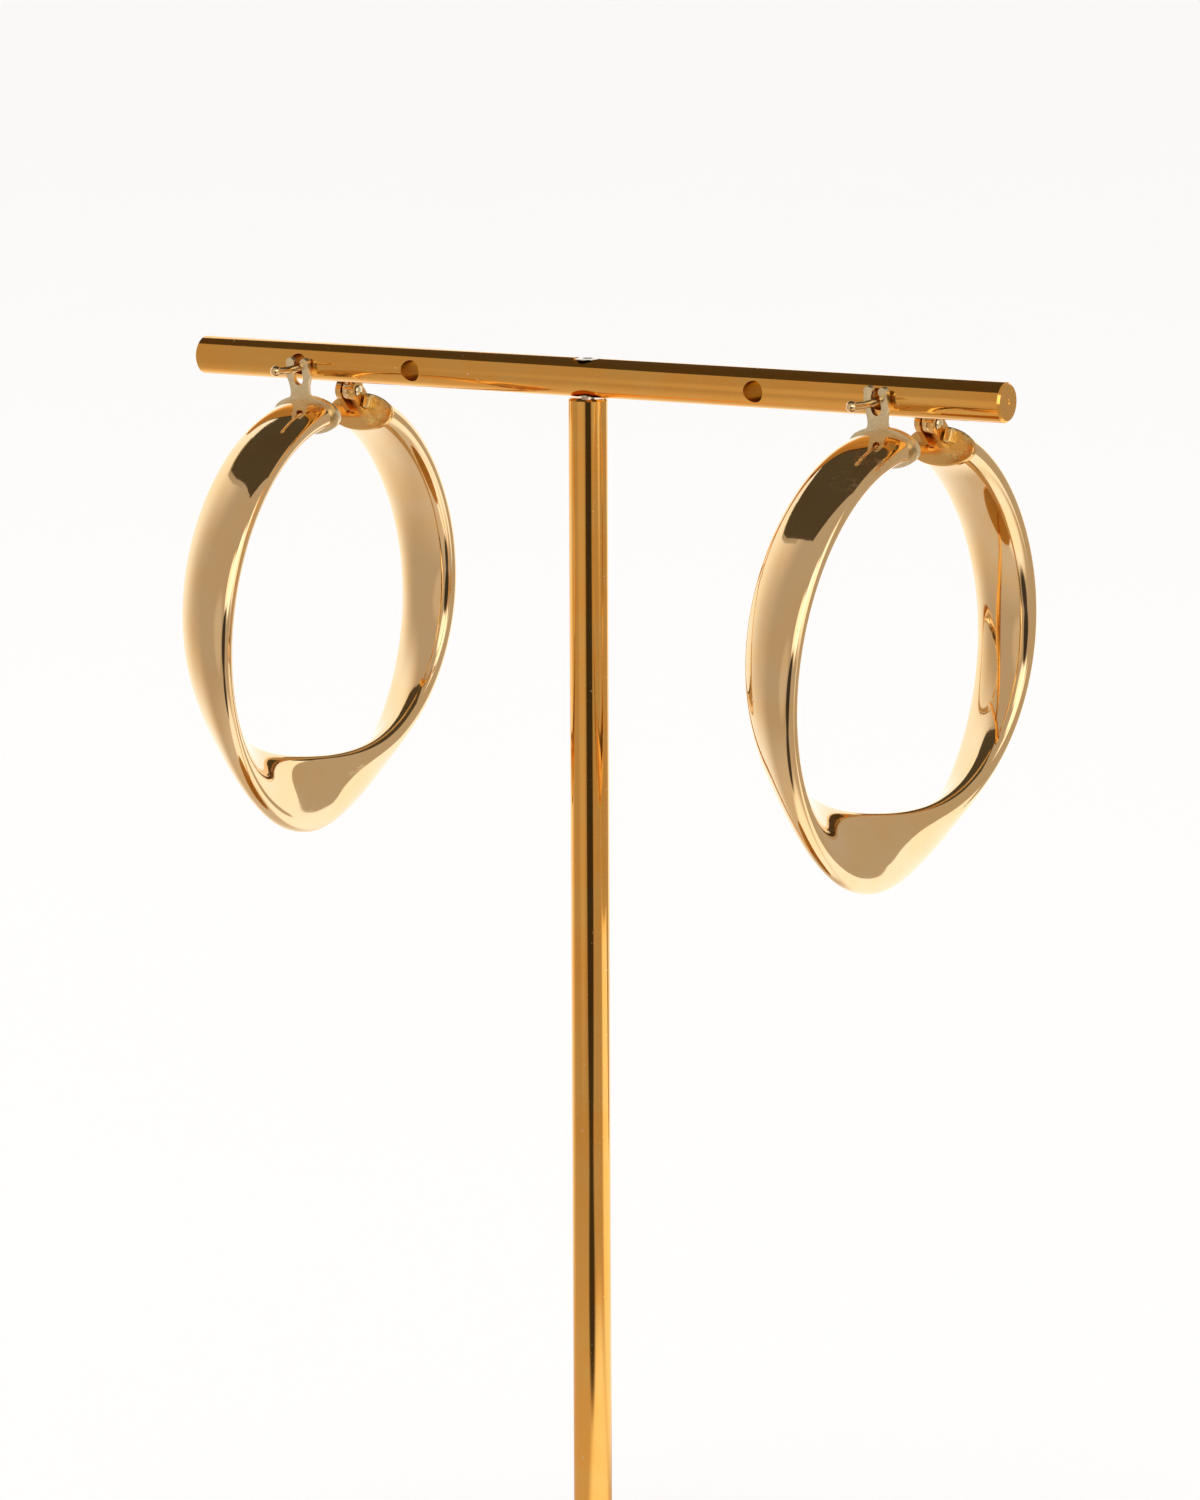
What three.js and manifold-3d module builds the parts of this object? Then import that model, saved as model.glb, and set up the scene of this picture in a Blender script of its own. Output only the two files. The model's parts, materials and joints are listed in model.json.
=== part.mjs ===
// A pair of twisted hollow hoop earrings hanging on a plain T-bar stand.
// Millimetres, +Z up. The origin is the middle of the foot's underside, the bar runs along X and -Y is the
// front.
import * as THREE from "three";
import { mergeVertices } from "three/addons/utils/BufferGeometryUtils.js";
import Module from "manifold-3d";

const wasm = await Module();
wasm.setup();

// Stand
const ROD_DIAMETER = 4;
const BAR_LENGTH = 95.5;
const BAR_HEIGHT = 136;
const BAR_CHAMFER = 0.45;
const POST_CHAMFER = 0.25;
const DIMPLE_DIAMETER = 0.7;
const DIMPLE_DEPTH = 0.25;
const FOOT_DIAMETER = 70;
const FOOT_THICKNESS = 6;
const FOOT_CHAMFER = 1;
const INNER_HOLE_OFFSET = 20.4;
const OUTER_HOLE_OFFSET = 34.4;
const HOLE_DROP = 0.2;
const HOLE_CLEARANCE = 0.7;
const SCREW_HEAD_DIAMETER = 2.6;
const SCREW_HEAD_DEPTH = 0.8;
const SCREW_SHANK_DIAMETER = 1.4;
const SCREW_LENGTH = 12;
const SEAT_GAP = 0.3;

// Hoop: a flattened hollow tube that makes half a turn on its way round
const HOOP_RADIUS = 21.5;
const BAND_WIDTH = 7.6;
const BAND_DEPTH = 3.1;
const BAND_WALL = 0.35;
const BAND_ROUNDNESS = 2.3;
const BAND_OFFSET = 0.6;
const HOOP_SETBACK = 2;

// Catch: an oval plate that closes the front end, with an upright fork
const CATCH_FRONT = 1.6;
const CATCH_DEPTH = 3.45;
const CATCH_WIDTH = 7.9;
const CATCH_HEIGHT = 4.1;
const PLATE_THICKNESS = 0.6;
const FORK_ROOT_WIDTH = 4.2;
const FORK_ROOT_RISE = 1;
const FORK_NECK_WIDTH = 2.1;
const FORK_NECK_RISE = 2.4;
const FORK_WIDTH = 3;
const EAR_DIAMETER = 1;
const EAR_RISE = 5.6;
const NOTCH_DEPTH = 2.4;
const LATCH_CLEARANCE = 0.1;

// Hinge: an oval cap that closes the back end, with two lugs and a riveted pin
const CAP_WIDTH = 7.7;
const CAP_HEIGHT = 4.1;
const CAP_THICKNESS = 0.7;
const CAP_BACK = 9.2;
const PIN_SETBACK = 5.6;
const PIN_DEPTH = 1.8;
const PIN_DIAMETER = 0.8;
const PIN_CLEARANCE = 0.08;
const RIVET_DIAMETER = 1.2;
const RIVET_HEIGHT = 0.2;
const LUG_DIAMETER = 2.2;
const LUG_LEG_WIDTH = 2;
const LUG_LEG_RISE = 0.7;
const LUG_THICKNESS = 0.6;
const LUG_CLEARANCE = 0.1;
const TAB_WIDTH = 0.8;
const TAB_HEIGHT = 1.5;
const TAB_PROUD = 1;
const TAB_GAP = 0.2;
const TAB_RISE = 1;
const VENT_LENGTH = 1.1;
const VENT_WIDTH = 0.5;
const VENT_OFFSET = 0.55;
const VENT_DROP = 0.35;

// Ear wire
const WIRE_DIAMETER = 0.8;
const WIRE_EYE_DIAMETER = 2;
const WIRE_TIP_FRONT = 7;
const WIRE_BALL_DIAMETER = 1.1;

// Facets
const ROD_SIDES = 32;
const FOOT_SIDES = 64;
const HOLE_SIDES = 20;
const BAND_SIDES = 20;
const BAND_STEPS = 52;
const FORK_STEPS = 6;
const PLATE_SIDES = 32;
const PIN_SIDES = 16;
const WIRE_SIDES = 8;
const WIRE_STEPS = 36;

// Sections of the band, evenly spaced from the catch to the hinge: radius, width and depth are shares of the
// hoop's own sizes, and twist is in degrees from the first edge facing +X.
const BAND_SECTIONS = [
  { radius: 0.926, width: 0.9, depth: 1.0, twist: 0 },
  { radius: 0.982, width: 0.99, depth: 0.97, twist: 11 },
  { radius: 1.038, width: 0.98, depth: 0.95, twist: 21 },
  { radius: 1.022, width: 0.98, depth: 0.95, twist: 48 },
  { radius: 0.993, width: 1.07, depth: 0.97, twist: 88 },
  { radius: 1.036, width: 0.96, depth: 0.97, twist: 135 },
  { radius: 1.032, width: 0.96, depth: 0.97, twist: 164 },
  { radius: 0.955, width: 1.04, depth: 1.0, twist: 173 },
  { radius: 0.935, width: 1.0, depth: 1.05, twist: 184 },
];

// Route of the ear wire from its eye to its tip: front is a share of the way from the pin to the tip, and
// rise is a share of the way from the pin up to the bar's axis.
const WIRE_ROUTE = [
  { front: 0.02, rise: 0.2 },
  { front: 0.06, rise: 0.46 },
  { front: 0.15, rise: 0.7 },
  { front: 0.28, rise: 0.86 },
  { front: 0.44, rise: 0.92 },
  { front: 0.58, rise: 0.92 },
  { front: 0.7, rise: 0.88 },
  { front: 0.84, rise: 0.85 },
  { front: 0.94, rise: 0.86 },
  { front: 1, rise: 0.885 },
];

// How each earring hangs: side is the hole's side of the bar, shift and lift are sideways and upwards off the
// hole's middle, and the angles are in degrees.
const EARRINGS = [
  { name: "left", side: -1, shift: 0.35, lift: 0, yaw: 2.5, roll: 1.8, hoopPitch: 0, wirePitch: 0 },
  { name: "right", side: 1, shift: 0.45, lift: 0.55, yaw: -3.5, roll: 2, hoopPitch: -1, wirePitch: 1.5 },
];

// Places about the bar's axis: the catch hangs under the bar, and the hinge pin lies behind and below it.
const rodRadius = ROD_DIAMETER / 2;
const catchDrop = rodRadius + CATCH_DEPTH;
const pinBack = rodRadius + PIN_SETBACK;
const pinDrop = rodRadius + PIN_DEPTH;
const holeDiameter = WIRE_DIAMETER + 2 * HOLE_CLEARANCE;

const brass = () => new THREE.MeshStandardMaterial({ color: 0xc08a3e, roughness: 0.16, metalness: 1 });
const steel = () => new THREE.MeshStandardMaterial({ color: 0xc9c6c0, roughness: 0.3, metalness: 1 });
const gold = () => new THREE.MeshStandardMaterial({ color: 0xd8b27a, roughness: 0.12, metalness: 1 });

// Turns a closed geometry into a solid that can be joined and cut.
function solid(geometry) {
  const bare = geometry.clone();
  bare.deleteAttribute("normal");
  bare.deleteAttribute("uv");
  const merged = mergeVertices(bare, 1e-4);
  return new wasm.Manifold(
    new wasm.Mesh({
      numProp: 3,
      vertProperties: merged.attributes.position.array,
      triVerts: new Uint32Array(merged.index.array),
    }),
  );
}

function geometryOf(body) {
  const { vertProperties, triVerts } = body.getMesh();
  const geometry = new THREE.BufferGeometry();
  geometry.setAttribute("position", new THREE.BufferAttribute(vertProperties, 3));
  geometry.setIndex(new THREE.BufferAttribute(triVerts, 1));
  geometry.computeVertexNormals();
  return geometry;
}

function mesh(name, body, material) {
  const made = new THREE.Mesh(geometryOf(body), material);
  made.name = name;
  return made;
}

// Cylinders along each axis, centred on their middle.
function rodAlongX(diameter, length, sides) {
  return new THREE.CylinderGeometry(diameter / 2, diameter / 2, length, sides).rotateZ(-Math.PI / 2);
}

function rodAlongY(diameter, length, sides) {
  return new THREE.CylinderGeometry(diameter / 2, diameter / 2, length, sides);
}

function rodAlongZ(diameter, length, sides) {
  return new THREE.CylinderGeometry(diameter / 2, diameter / 2, length, sides).rotateX(Math.PI / 2);
}

// A turned piece about Z from [radius, height] pairs that start and end on the axis.
function turned(profile, sides) {
  const points = profile.map(([radius, height]) => new THREE.Vector2(radius, height));
  return new THREE.LatheGeometry(points, sides).rotateX(Math.PI / 2);
}

// Crossbar: chamfered at both ends, with a centre dimple in each, four cross holes and a screw seat on top
const bar = (() => {
  const half = BAR_LENGTH / 2;
  const profile = [
    [0, -half + DIMPLE_DEPTH],
    [DIMPLE_DIAMETER / 2, -half],
    [rodRadius - BAR_CHAMFER, -half],
    [rodRadius, -half + BAR_CHAMFER],
    [rodRadius, half - BAR_CHAMFER],
    [rodRadius - BAR_CHAMFER, half],
    [DIMPLE_DIAMETER / 2, half],
    [0, half - DIMPLE_DEPTH],
  ];
  let body = solid(turned(profile, ROD_SIDES).rotateY(Math.PI / 2));
  for (const side of [-1, 1]) {
    for (const offset of [INNER_HOLE_OFFSET, OUTER_HOLE_OFFSET]) {
      const hole = rodAlongY(holeDiameter, 2 * ROD_DIAMETER, HOLE_SIDES);
      body = body.subtract(solid(hole.translate(side * offset, 0, -HOLE_DROP)));
    }
  }
  const throat = SCREW_SHANK_DIAMETER / 2 + SEAT_GAP;
  const mouth = SCREW_HEAD_DIAMETER / 2 + SEAT_GAP / 2;
  const seat = [
    [0, -ROD_DIAMETER],
    [throat, -ROD_DIAMETER],
    [throat, rodRadius - SCREW_HEAD_DEPTH - SEAT_GAP],
    [mouth, rodRadius - SEAT_GAP],
    [mouth, ROD_DIAMETER],
    [0, ROD_DIAMETER],
  ];
  body = body.subtract(solid(turned(seat, HOLE_SIDES)));
  const made = mesh("stand_crossbar", body, brass());
  made.position.z = BAR_HEIGHT;
  return made;
})();

// Post: cut square just under the bar, chamfered there, and drilled for the screw
const post = (() => {
  const bottom = FOOT_THICKNESS + SEAT_GAP;
  const top = BAR_HEIGHT - rodRadius - SEAT_GAP;
  const profile = [
    [0, bottom],
    [rodRadius, bottom],
    [rodRadius, top - POST_CHAMFER],
    [rodRadius - POST_CHAMFER, top],
    [0, top],
  ];
  const bore = rodAlongZ(SCREW_SHANK_DIAMETER + 2 * SEAT_GAP, 2 * SCREW_LENGTH, HOLE_SIDES);
  const body = solid(turned(profile, ROD_SIDES)).subtract(solid(bore.translate(0, 0, BAR_HEIGHT)));
  return mesh("stand_post", body, brass());
})();

// Screw: a countersunk head flush with the top of the bar and a shank down into the post
const screw = (() => {
  const top = rodRadius;
  const profile = [
    [0, top - SCREW_LENGTH],
    [SCREW_SHANK_DIAMETER / 2, top - SCREW_LENGTH],
    [SCREW_SHANK_DIAMETER / 2, top - SCREW_HEAD_DEPTH],
    [SCREW_HEAD_DIAMETER / 2, top - SEAT_GAP / 2],
    [SCREW_HEAD_DIAMETER / 2, top - SEAT_GAP / 4],
    [0, top],
  ];
  const made = mesh("stand_screw", solid(turned(profile, HOLE_SIDES)), steel());
  made.position.z = BAR_HEIGHT;
  return made;
})();

// Foot: a plain round disc with a chamfered upper edge
const foot = (() => {
  const profile = [
    [0, 0],
    [FOOT_DIAMETER / 2, 0],
    [FOOT_DIAMETER / 2, FOOT_THICKNESS - FOOT_CHAMFER],
    [FOOT_DIAMETER / 2 - FOOT_CHAMFER, FOOT_THICKNESS],
    [0, FOOT_THICKNESS],
  ];
  return mesh("stand_base", solid(turned(profile, FOOT_SIDES)), brass());
})();

// The earring's own frame: the origin is on the bar's axis in the hanging hole, -Y is the front.
const columns = ["radius", "width", "depth", "twist"];
const sectionSpline = new THREE.CubicInterpolant(
  BAND_SECTIONS.map((_, row) => row / (BAND_SECTIONS.length - 1)),
  BAND_SECTIONS.flatMap((section) => columns.map((column) => section[column])),
  columns.length,
);

const firstRadius = BAND_SECTIONS[0].radius * HOOP_RADIUS;
const lastRadius = BAND_SECTIONS.at(-1).radius * HOOP_RADIUS;
const firstTurn = Math.asin((CATCH_FRONT + HOOP_SETBACK) / firstRadius);
const lastTurn = 2 * Math.PI - Math.asin((CAP_BACK - HOOP_SETBACK) / lastRadius);
const hoopDrop = catchDrop + firstRadius * Math.cos(firstTurn);
const hoopMiddle = new THREE.Vector3(BAND_OFFSET, HOOP_SETBACK, -hoopDrop);

const sideways = new THREE.Vector3(1, 0, 0);

// The band at a share of the way round: its middle, its width's, depth's and run's directions, and its sizes.
function bandAt(share) {
  const [radius, width, depth, twist] = sectionSpline.evaluate(share);
  const turn = THREE.MathUtils.lerp(firstTurn, lastTurn, share);
  const outward = new THREE.Vector3(0, -Math.sin(turn), Math.cos(turn));
  const along = new THREE.Vector3(0, -Math.cos(turn), -Math.sin(turn));
  const angle = THREE.MathUtils.degToRad(twist);
  return {
    middle: hoopMiddle.clone().addScaledVector(outward, radius * HOOP_RADIUS),
    across: sideways.clone().multiplyScalar(Math.cos(angle)).addScaledVector(outward, Math.sin(angle)),
    through: sideways.clone().multiplyScalar(-Math.sin(angle)).addScaledVector(outward, Math.cos(angle)),
    along,
    width: width * BAND_WIDTH,
    depth: depth * BAND_DEPTH,
  };
}

// The twisted tube: a cylinder bent round the hoop, its section squeezed to a rounded oval.
function bandGeometry(inset, from, to) {
  const tube = new THREE.CylinderGeometry(1, 1, 1, BAND_SIDES, BAND_STEPS);
  const position = tube.attributes.position;
  const soften = (value) => Math.sign(value) * Math.abs(value) ** (2 / BAND_ROUNDNESS);
  for (let i = 0; i < position.count; i++) {
    const band = bandAt(THREE.MathUtils.lerp(from, to, 0.5 - position.getY(i)));
    const point = band.middle;
    point.addScaledVector(band.across, (band.width / 2 - inset) * soften(position.getX(i)));
    point.addScaledVector(band.through, (band.depth / 2 - inset) * soften(position.getZ(i)));
    position.setXYZ(i, point.x, point.y, point.z);
  }
  return tube;
}

// An oval plate square to the band's run and centred on the band's end.
function ovalPlate(end, outward, width, height, thickness) {
  const plate = new THREE.CylinderGeometry(0.5, 0.5, thickness, PLATE_SIDES).scale(width, 1, height);
  const up = sideways.clone().cross(outward);
  return plate.applyMatrix4(new THREE.Matrix4().makeBasis(sideways, outward, up).setPosition(end.middle));
}

const notchWidth = WIRE_DIAMETER + 2 * LATCH_CLEARANCE;
const earOffset = (notchWidth + EAR_DIAMETER) / 2;

// The fork seen from the front, on the catch plate's middle: x across, y up the plate.
function forkShape() {
  const root = FORK_ROOT_WIDTH / 2;
  const neck = FORK_NECK_WIDTH / 2;
  const waist = FORK_WIDTH / 2;
  const earRadius = EAR_DIAMETER / 2;
  const bend = (FORK_ROOT_RISE + FORK_NECK_RISE) / 2;
  const shoulder = EAR_RISE - NOTCH_DEPTH;
  const notchFloor = shoulder + notchWidth / 2;
  const shape = new THREE.Shape();
  shape.moveTo(-root, FORK_ROOT_RISE);
  shape.lineTo(root, FORK_ROOT_RISE);
  shape.quadraticCurveTo(neck, bend, neck, FORK_NECK_RISE);
  shape.quadraticCurveTo(neck, shoulder, waist, notchFloor);
  shape.lineTo(earOffset + earRadius / 2, EAR_RISE - earRadius);
  shape.absarc(earOffset, EAR_RISE, earRadius, -Math.PI / 4, Math.PI, false);
  shape.lineTo(notchWidth / 2, notchFloor);
  shape.absarc(0, notchFloor, notchWidth / 2, 0, -Math.PI, true);
  shape.lineTo(-notchWidth / 2, EAR_RISE);
  shape.absarc(-earOffset, EAR_RISE, earRadius, 0, (5 * Math.PI) / 4, false);
  shape.lineTo(-earOffset - earRadius / 2, EAR_RISE - earRadius);
  shape.lineTo(-waist, notchFloor);
  shape.quadraticCurveTo(-neck, shoulder, -neck, FORK_NECK_RISE);
  shape.quadraticCurveTo(-neck, bend, -root, FORK_ROOT_RISE);
  return shape;
}

const lugGap = WIRE_DIAMETER + 2 * LUG_CLEARANCE;
const lugReach = lugGap / 2 + LUG_THICKNESS;

// A lug: a round eye about the pin, on a leg that runs down to its root in the cap.
function lugSolid(root) {
  const eye = rodAlongX(LUG_DIAMETER, LUG_THICKNESS, PIN_SIDES).translate(0, pinBack, -pinDrop);
  const run = new THREE.Vector3(0, root.y - pinBack, root.z + pinDrop);
  const leg = new THREE.BoxGeometry(LUG_THICKNESS, run.length(), LUG_LEG_WIDTH);
  leg.rotateX(Math.atan2(run.z, run.y)).translate(0, pinBack + run.y / 2, run.z / 2 - pinDrop);
  return solid(eye).add(solid(leg));
}

// Hoop: the hollow band, the catch and the hinge's cap are soldered into one piece.
function hoopSolid() {
  const first = bandAt(0);
  const last = bandAt(1);
  const run = HOOP_RADIUS * (lastTurn - firstTurn);
  const hollowStart = PLATE_THICKNESS / 2 / run;
  const hollowEnd = 1 - CAP_THICKNESS / 2 / run;
  let body = solid(bandGeometry(0, 0, 1)).subtract(solid(bandGeometry(BAND_WALL, hollowStart, hollowEnd)));

  const back = first.along.clone().negate();
  body = body.add(solid(ovalPlate(first, back, CATCH_WIDTH, CATCH_HEIGHT, PLATE_THICKNESS)));
  const forkOptions = { depth: PLATE_THICKNESS, bevelEnabled: false, curveSegments: FORK_STEPS };
  const fork = new THREE.ExtrudeGeometry(forkShape(), forkOptions).translate(0, 0, -PLATE_THICKNESS / 2);
  const forkFrame = new THREE.Matrix4().makeBasis(sideways, sideways.clone().cross(back), first.along);
  forkFrame.setPosition(0, first.middle.y, first.middle.z);
  body = body.add(solid(fork.applyMatrix4(forkFrame)));

  body = body.add(solid(ovalPlate(last, last.along, CAP_WIDTH, CAP_HEIGHT, CAP_THICKNESS)));
  const up = last.along.clone().cross(sideways);
  const lugMiddle = (lugGap + LUG_THICKNESS) / 2;
  for (const side of [-1, 1]) {
    const lug = lugSolid(last.middle.clone().addScaledVector(up, LUG_LEG_RISE));
    body = body.add(lug.translate([side * lugMiddle, 0, 0]));
  }
  const capFrame = new THREE.Matrix4().makeBasis(sideways, last.along.clone().negate(), up);
  capFrame.setPosition(0, last.middle.y, last.middle.z);
  const tabLength = CAP_THICKNESS / 2 + TAB_PROUD;
  const tab = new THREE.BoxGeometry(TAB_WIDTH, tabLength, TAB_HEIGHT);
  tab.translate(lugReach + TAB_GAP + TAB_WIDTH / 2, -tabLength / 2, TAB_RISE);
  body = body.add(solid(tab.applyMatrix4(capFrame)));
  const vent = new THREE.BoxGeometry(VENT_LENGTH, 2 * CAP_THICKNESS, VENT_WIDTH);
  vent.translate(-VENT_OFFSET, 0, -VENT_DROP);
  body = body.subtract(solid(vent.applyMatrix4(capFrame)));
  const boreDiameter = PIN_DIAMETER + 2 * PIN_CLEARANCE;
  const bore = rodAlongX(boreDiameter, 4 * lugReach, PIN_SIDES).translate(0, pinBack, -pinDrop);
  return body.subtract(solid(bore));
}

// Hinge pin: riveted over a small head on each side of the lugs
function pinSolid() {
  const reach = lugReach + PIN_CLEARANCE;
  let body = solid(rodAlongX(PIN_DIAMETER, 2 * (reach + RIVET_HEIGHT / 2), PIN_SIDES));
  for (const side of [-1, 1]) {
    const head = rodAlongX(RIVET_DIAMETER, RIVET_HEIGHT, PIN_SIDES);
    body = body.add(solid(head.translate(side * (reach + RIVET_HEIGHT / 2), 0, 0)));
  }
  return body.translate([0, pinBack, -pinDrop]);
}

// Ear wire, about the hinge pin: a flat eye, a low arch to the front and a small ball at its tip
function wireSolid() {
  const reach = pinBack + WIRE_TIP_FRONT;
  const route = WIRE_ROUTE.map(({ front, rise }) => new THREE.Vector3(0, -front * reach, rise * pinDrop));
  const path = new THREE.CatmullRomCurve3(route);
  const section = new THREE.Shape().absarc(0, 0, WIRE_DIAMETER / 2, 0, 2 * Math.PI, false);
  const curveSegments = WIRE_SIDES / 2;
  const options = { extrudePath: path, steps: WIRE_STEPS, curveSegments, bevelEnabled: false };
  const arch = solid(new THREE.ExtrudeGeometry(section, options));
  const ball = new THREE.SphereGeometry(WIRE_BALL_DIAMETER / 2, 12, 8);
  const tip = route.at(-1);
  const eye = rodAlongX(WIRE_EYE_DIAMETER, WIRE_DIAMETER, PIN_SIDES);
  const bore = rodAlongX(PIN_DIAMETER + 2 * PIN_CLEARANCE, 2 * WIRE_DIAMETER, PIN_SIDES);
  return arch.add(solid(ball.translate(tip.x, tip.y, tip.z))).add(solid(eye)).subtract(solid(bore));
}

function earring({ name, side, shift, lift, yaw, roll, hoopPitch, wirePitch }) {
  const hang = new THREE.Group();
  hang.position.set(side * OUTER_HOLE_OFFSET + shift, 0, BAR_HEIGHT + lift);
  hang.rotation.order = "ZYX";
  hang.rotation.set(0, THREE.MathUtils.degToRad(roll), THREE.MathUtils.degToRad(yaw));

  const hoop = new THREE.Group();
  hoop.rotation.x = THREE.MathUtils.degToRad(hoopPitch);
  hoop.add(mesh(`${name}_hoop`, hoopSolid(), gold()));
  hoop.add(mesh(`${name}_hinge_pin`, pinSolid(), gold()));

  const pin = new THREE.Vector3(0, pinBack, -pinDrop).applyEuler(hoop.rotation);
  const wire = mesh(`${name}_ear_wire`, wireSolid(), gold());
  wire.position.copy(pin);
  wire.rotation.x = THREE.MathUtils.degToRad(wirePitch);
  hang.add(hoop, wire);
  return hang;
}

const group = new THREE.Group();
group.add(foot, post, bar, screw, ...EARRINGS.map(earring));

export default group;
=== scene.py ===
"""Fine surfaces and finishes for a pair of twisted hoop earrings hanging on a T-bar stand."""

import json
import math

import bmesh
import bpy
import numpy as np
from bpy.props import FloatProperty, FloatVectorProperty, PointerProperty
from mathutils import Euler, Matrix, Vector


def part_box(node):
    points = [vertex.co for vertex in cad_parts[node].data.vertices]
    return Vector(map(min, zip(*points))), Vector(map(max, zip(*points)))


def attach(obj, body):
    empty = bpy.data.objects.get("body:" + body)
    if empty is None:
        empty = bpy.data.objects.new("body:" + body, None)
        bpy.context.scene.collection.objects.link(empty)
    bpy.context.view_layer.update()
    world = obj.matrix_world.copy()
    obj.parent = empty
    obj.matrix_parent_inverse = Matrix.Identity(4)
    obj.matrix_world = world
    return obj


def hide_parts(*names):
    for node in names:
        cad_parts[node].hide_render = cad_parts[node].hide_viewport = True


bl_info = {
    "name": "Twisted Hoops on a Stand",
    "version": (1, 0, 0),
    "blender": (4, 5, 0),
    "location": "3D View > Sidebar > Earrings",
    "description": "Fine surfaces and finishes for a pair of twisted hoop earrings on a T-bar stand",
    "category": "Add Mesh",
}

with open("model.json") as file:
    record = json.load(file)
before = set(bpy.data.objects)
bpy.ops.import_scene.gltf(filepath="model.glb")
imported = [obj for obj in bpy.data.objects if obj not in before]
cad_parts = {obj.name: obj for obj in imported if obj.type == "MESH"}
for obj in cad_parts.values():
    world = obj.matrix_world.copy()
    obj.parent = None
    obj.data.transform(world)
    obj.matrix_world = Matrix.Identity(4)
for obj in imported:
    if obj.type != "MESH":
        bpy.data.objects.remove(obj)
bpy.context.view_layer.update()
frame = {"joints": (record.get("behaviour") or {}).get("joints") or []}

# Units: sizes are in millimetres until a piece is put in its place.
MM = 0.001
X_AXIS = Vector((1, 0, 0))

# Stand, read from the frame
bar_low, bar_high = (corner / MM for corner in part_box("stand_crossbar"))
post_low, _ = (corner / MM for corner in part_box("stand_post"))
_, foot_high = (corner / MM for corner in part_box("stand_base"))
screw_low, screw_high = (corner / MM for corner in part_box("stand_screw"))
ROD_RADIUS = (bar_high.z - bar_low.z) / 2
BAR_HEIGHT = (bar_high.z + bar_low.z) / 2
BAR_LENGTH = bar_high.x - bar_low.x
BAR_CHAMFER = 0.22
POST_CHAMFER = 0.2
POST_GAP = 0.08
FOOT_CHAMFER = 2.4
DIMPLE_DIAMETER = 0.7
DIMPLE_DEPTH = 0.25
HOLE_OFFSETS = (-34.4, -20.4, 20.4, 34.4)
HOLE_DIAMETER = 2.2
HOLE_DROP = 0.2
SCREW_HEAD_DIAMETER = screw_high.x - screw_low.x
SCREW_HEAD_DEPTH = 0.8
SCREW_SHANK_DIAMETER = 1.4
SCREW_SOCKET_WIDTH = 1.2
SCREW_SOCKET_DEPTH = 0.5
SEAT_GAP = 0.3

# Hoop, in the earring's own frame: the origin is on the bar's axis in the hole, and -Y is the front
BAND_OFFSET = 0.6
HOOP_SETBACK = 2
CATCH_FRONT = 1.6
CATCH_DROP = ROD_RADIUS + 3.45
CATCH_WIDTH = 7.9
CATCH_HEIGHT = 4.1
PLATE_THICKNESS = 0.6
FORK_ROOT_WIDTH = 4.2
FORK_ROOT_RISE = 1
FORK_NECK_WIDTH = 2.1
FORK_NECK_RISE = 2.4
FORK_WIDTH = 2.84
EAR_DIAMETER = 1
EAR_RISE = 5.6
EAR_GAP = 0.68
NOTCH_DEPTH = 2.4
NOTCH_WIDTH = 1.24
NOTCH_HEIGHT = 1.8

# Hinge
CAP_WIDTH = 7.7
CAP_HEIGHT = 4.1
CAP_THICKNESS = 0.7
CAP_BACK = 9.2
PIN_BACK = ROD_RADIUS + 5.6
PIN_DROP = ROD_RADIUS + 1.8
PIN_DIAMETER = 0.8
PIN_CLEARANCE = 0.08
RIVET_DIAMETER = 1.2
RIVET_HEIGHT = 0.2
LUG_DIAMETER = 2.2
LUG_LEG_WIDTH = 2
LUG_LEG_RISE = 0.7
LUG_THICKNESS = 0.6
LUG_GAP = 1
TAB_WIDTH = 0.8
TAB_HEIGHT = 1.5
TAB_PROUD = 1
TAB_GAP = 0.2
TAB_RISE = 1
VENT_LENGTH = 1.1
VENT_WIDTH = 0.5
VENT_OFFSET = 0.55
VENT_DROP = 0.35
VENT_DEPTH = 1.2 * CAP_THICKNESS

# Ear wire
WIRE_DIAMETER = 0.8
WIRE_EYE_DIAMETER = 2
WIRE_TIP_FRONT = 7
WIRE_BALL_DIAMETER = 1.1
WIRE_STRIDE = 0.004

# Rounding of the edges
FORK_ROUNDING = 0.09
CAP_ROUNDING = 0.12
LUG_ROUNDING = 0.1
TAB_ROUNDING = 0.18
EYE_ROUNDING = 0.25

# Sides of the round forms, and steps along the wire and the bar
ROD_SIDES = 96
BAR_STATIONS = 96
FOOT_SIDES = 192
HOLE_SIDES = 40
SCREW_SIDES = 48
SOCKET_SIDES = 6
PLATE_SIDES = 96
LUG_SIDES = 48
PIN_SIDES = 32
EYE_SIDES = 48
WIRE_SIDES = 24
WIRE_STEPS = 110

# Points closer than this are merged: on a turned shape, and after shapes are joined or cut
TURNED_MERGE = 1e-5
CUT_MERGE = 1e-4

# A crossbar face is a bare end where it stands this square to the bar and this near its end. It is a
# hole's wall where it lies within this share of the rod's radius and further than this from the end.
END_SQUARENESS = 0.99
END_REACH = 0.1
DRILLED_SHARE = 0.93
DRILLED_REACH = 1

# Colour of the holes' walls seen straight on, and the tint of their edges: a darker brass than the rod,
# painted shade inside the holes
SHADED_HOLE_BRASS = (0.6, 0.28, 0.07)
SHADED_HOLE_EDGE = (0.45, 0.2, 0.05)

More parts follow.
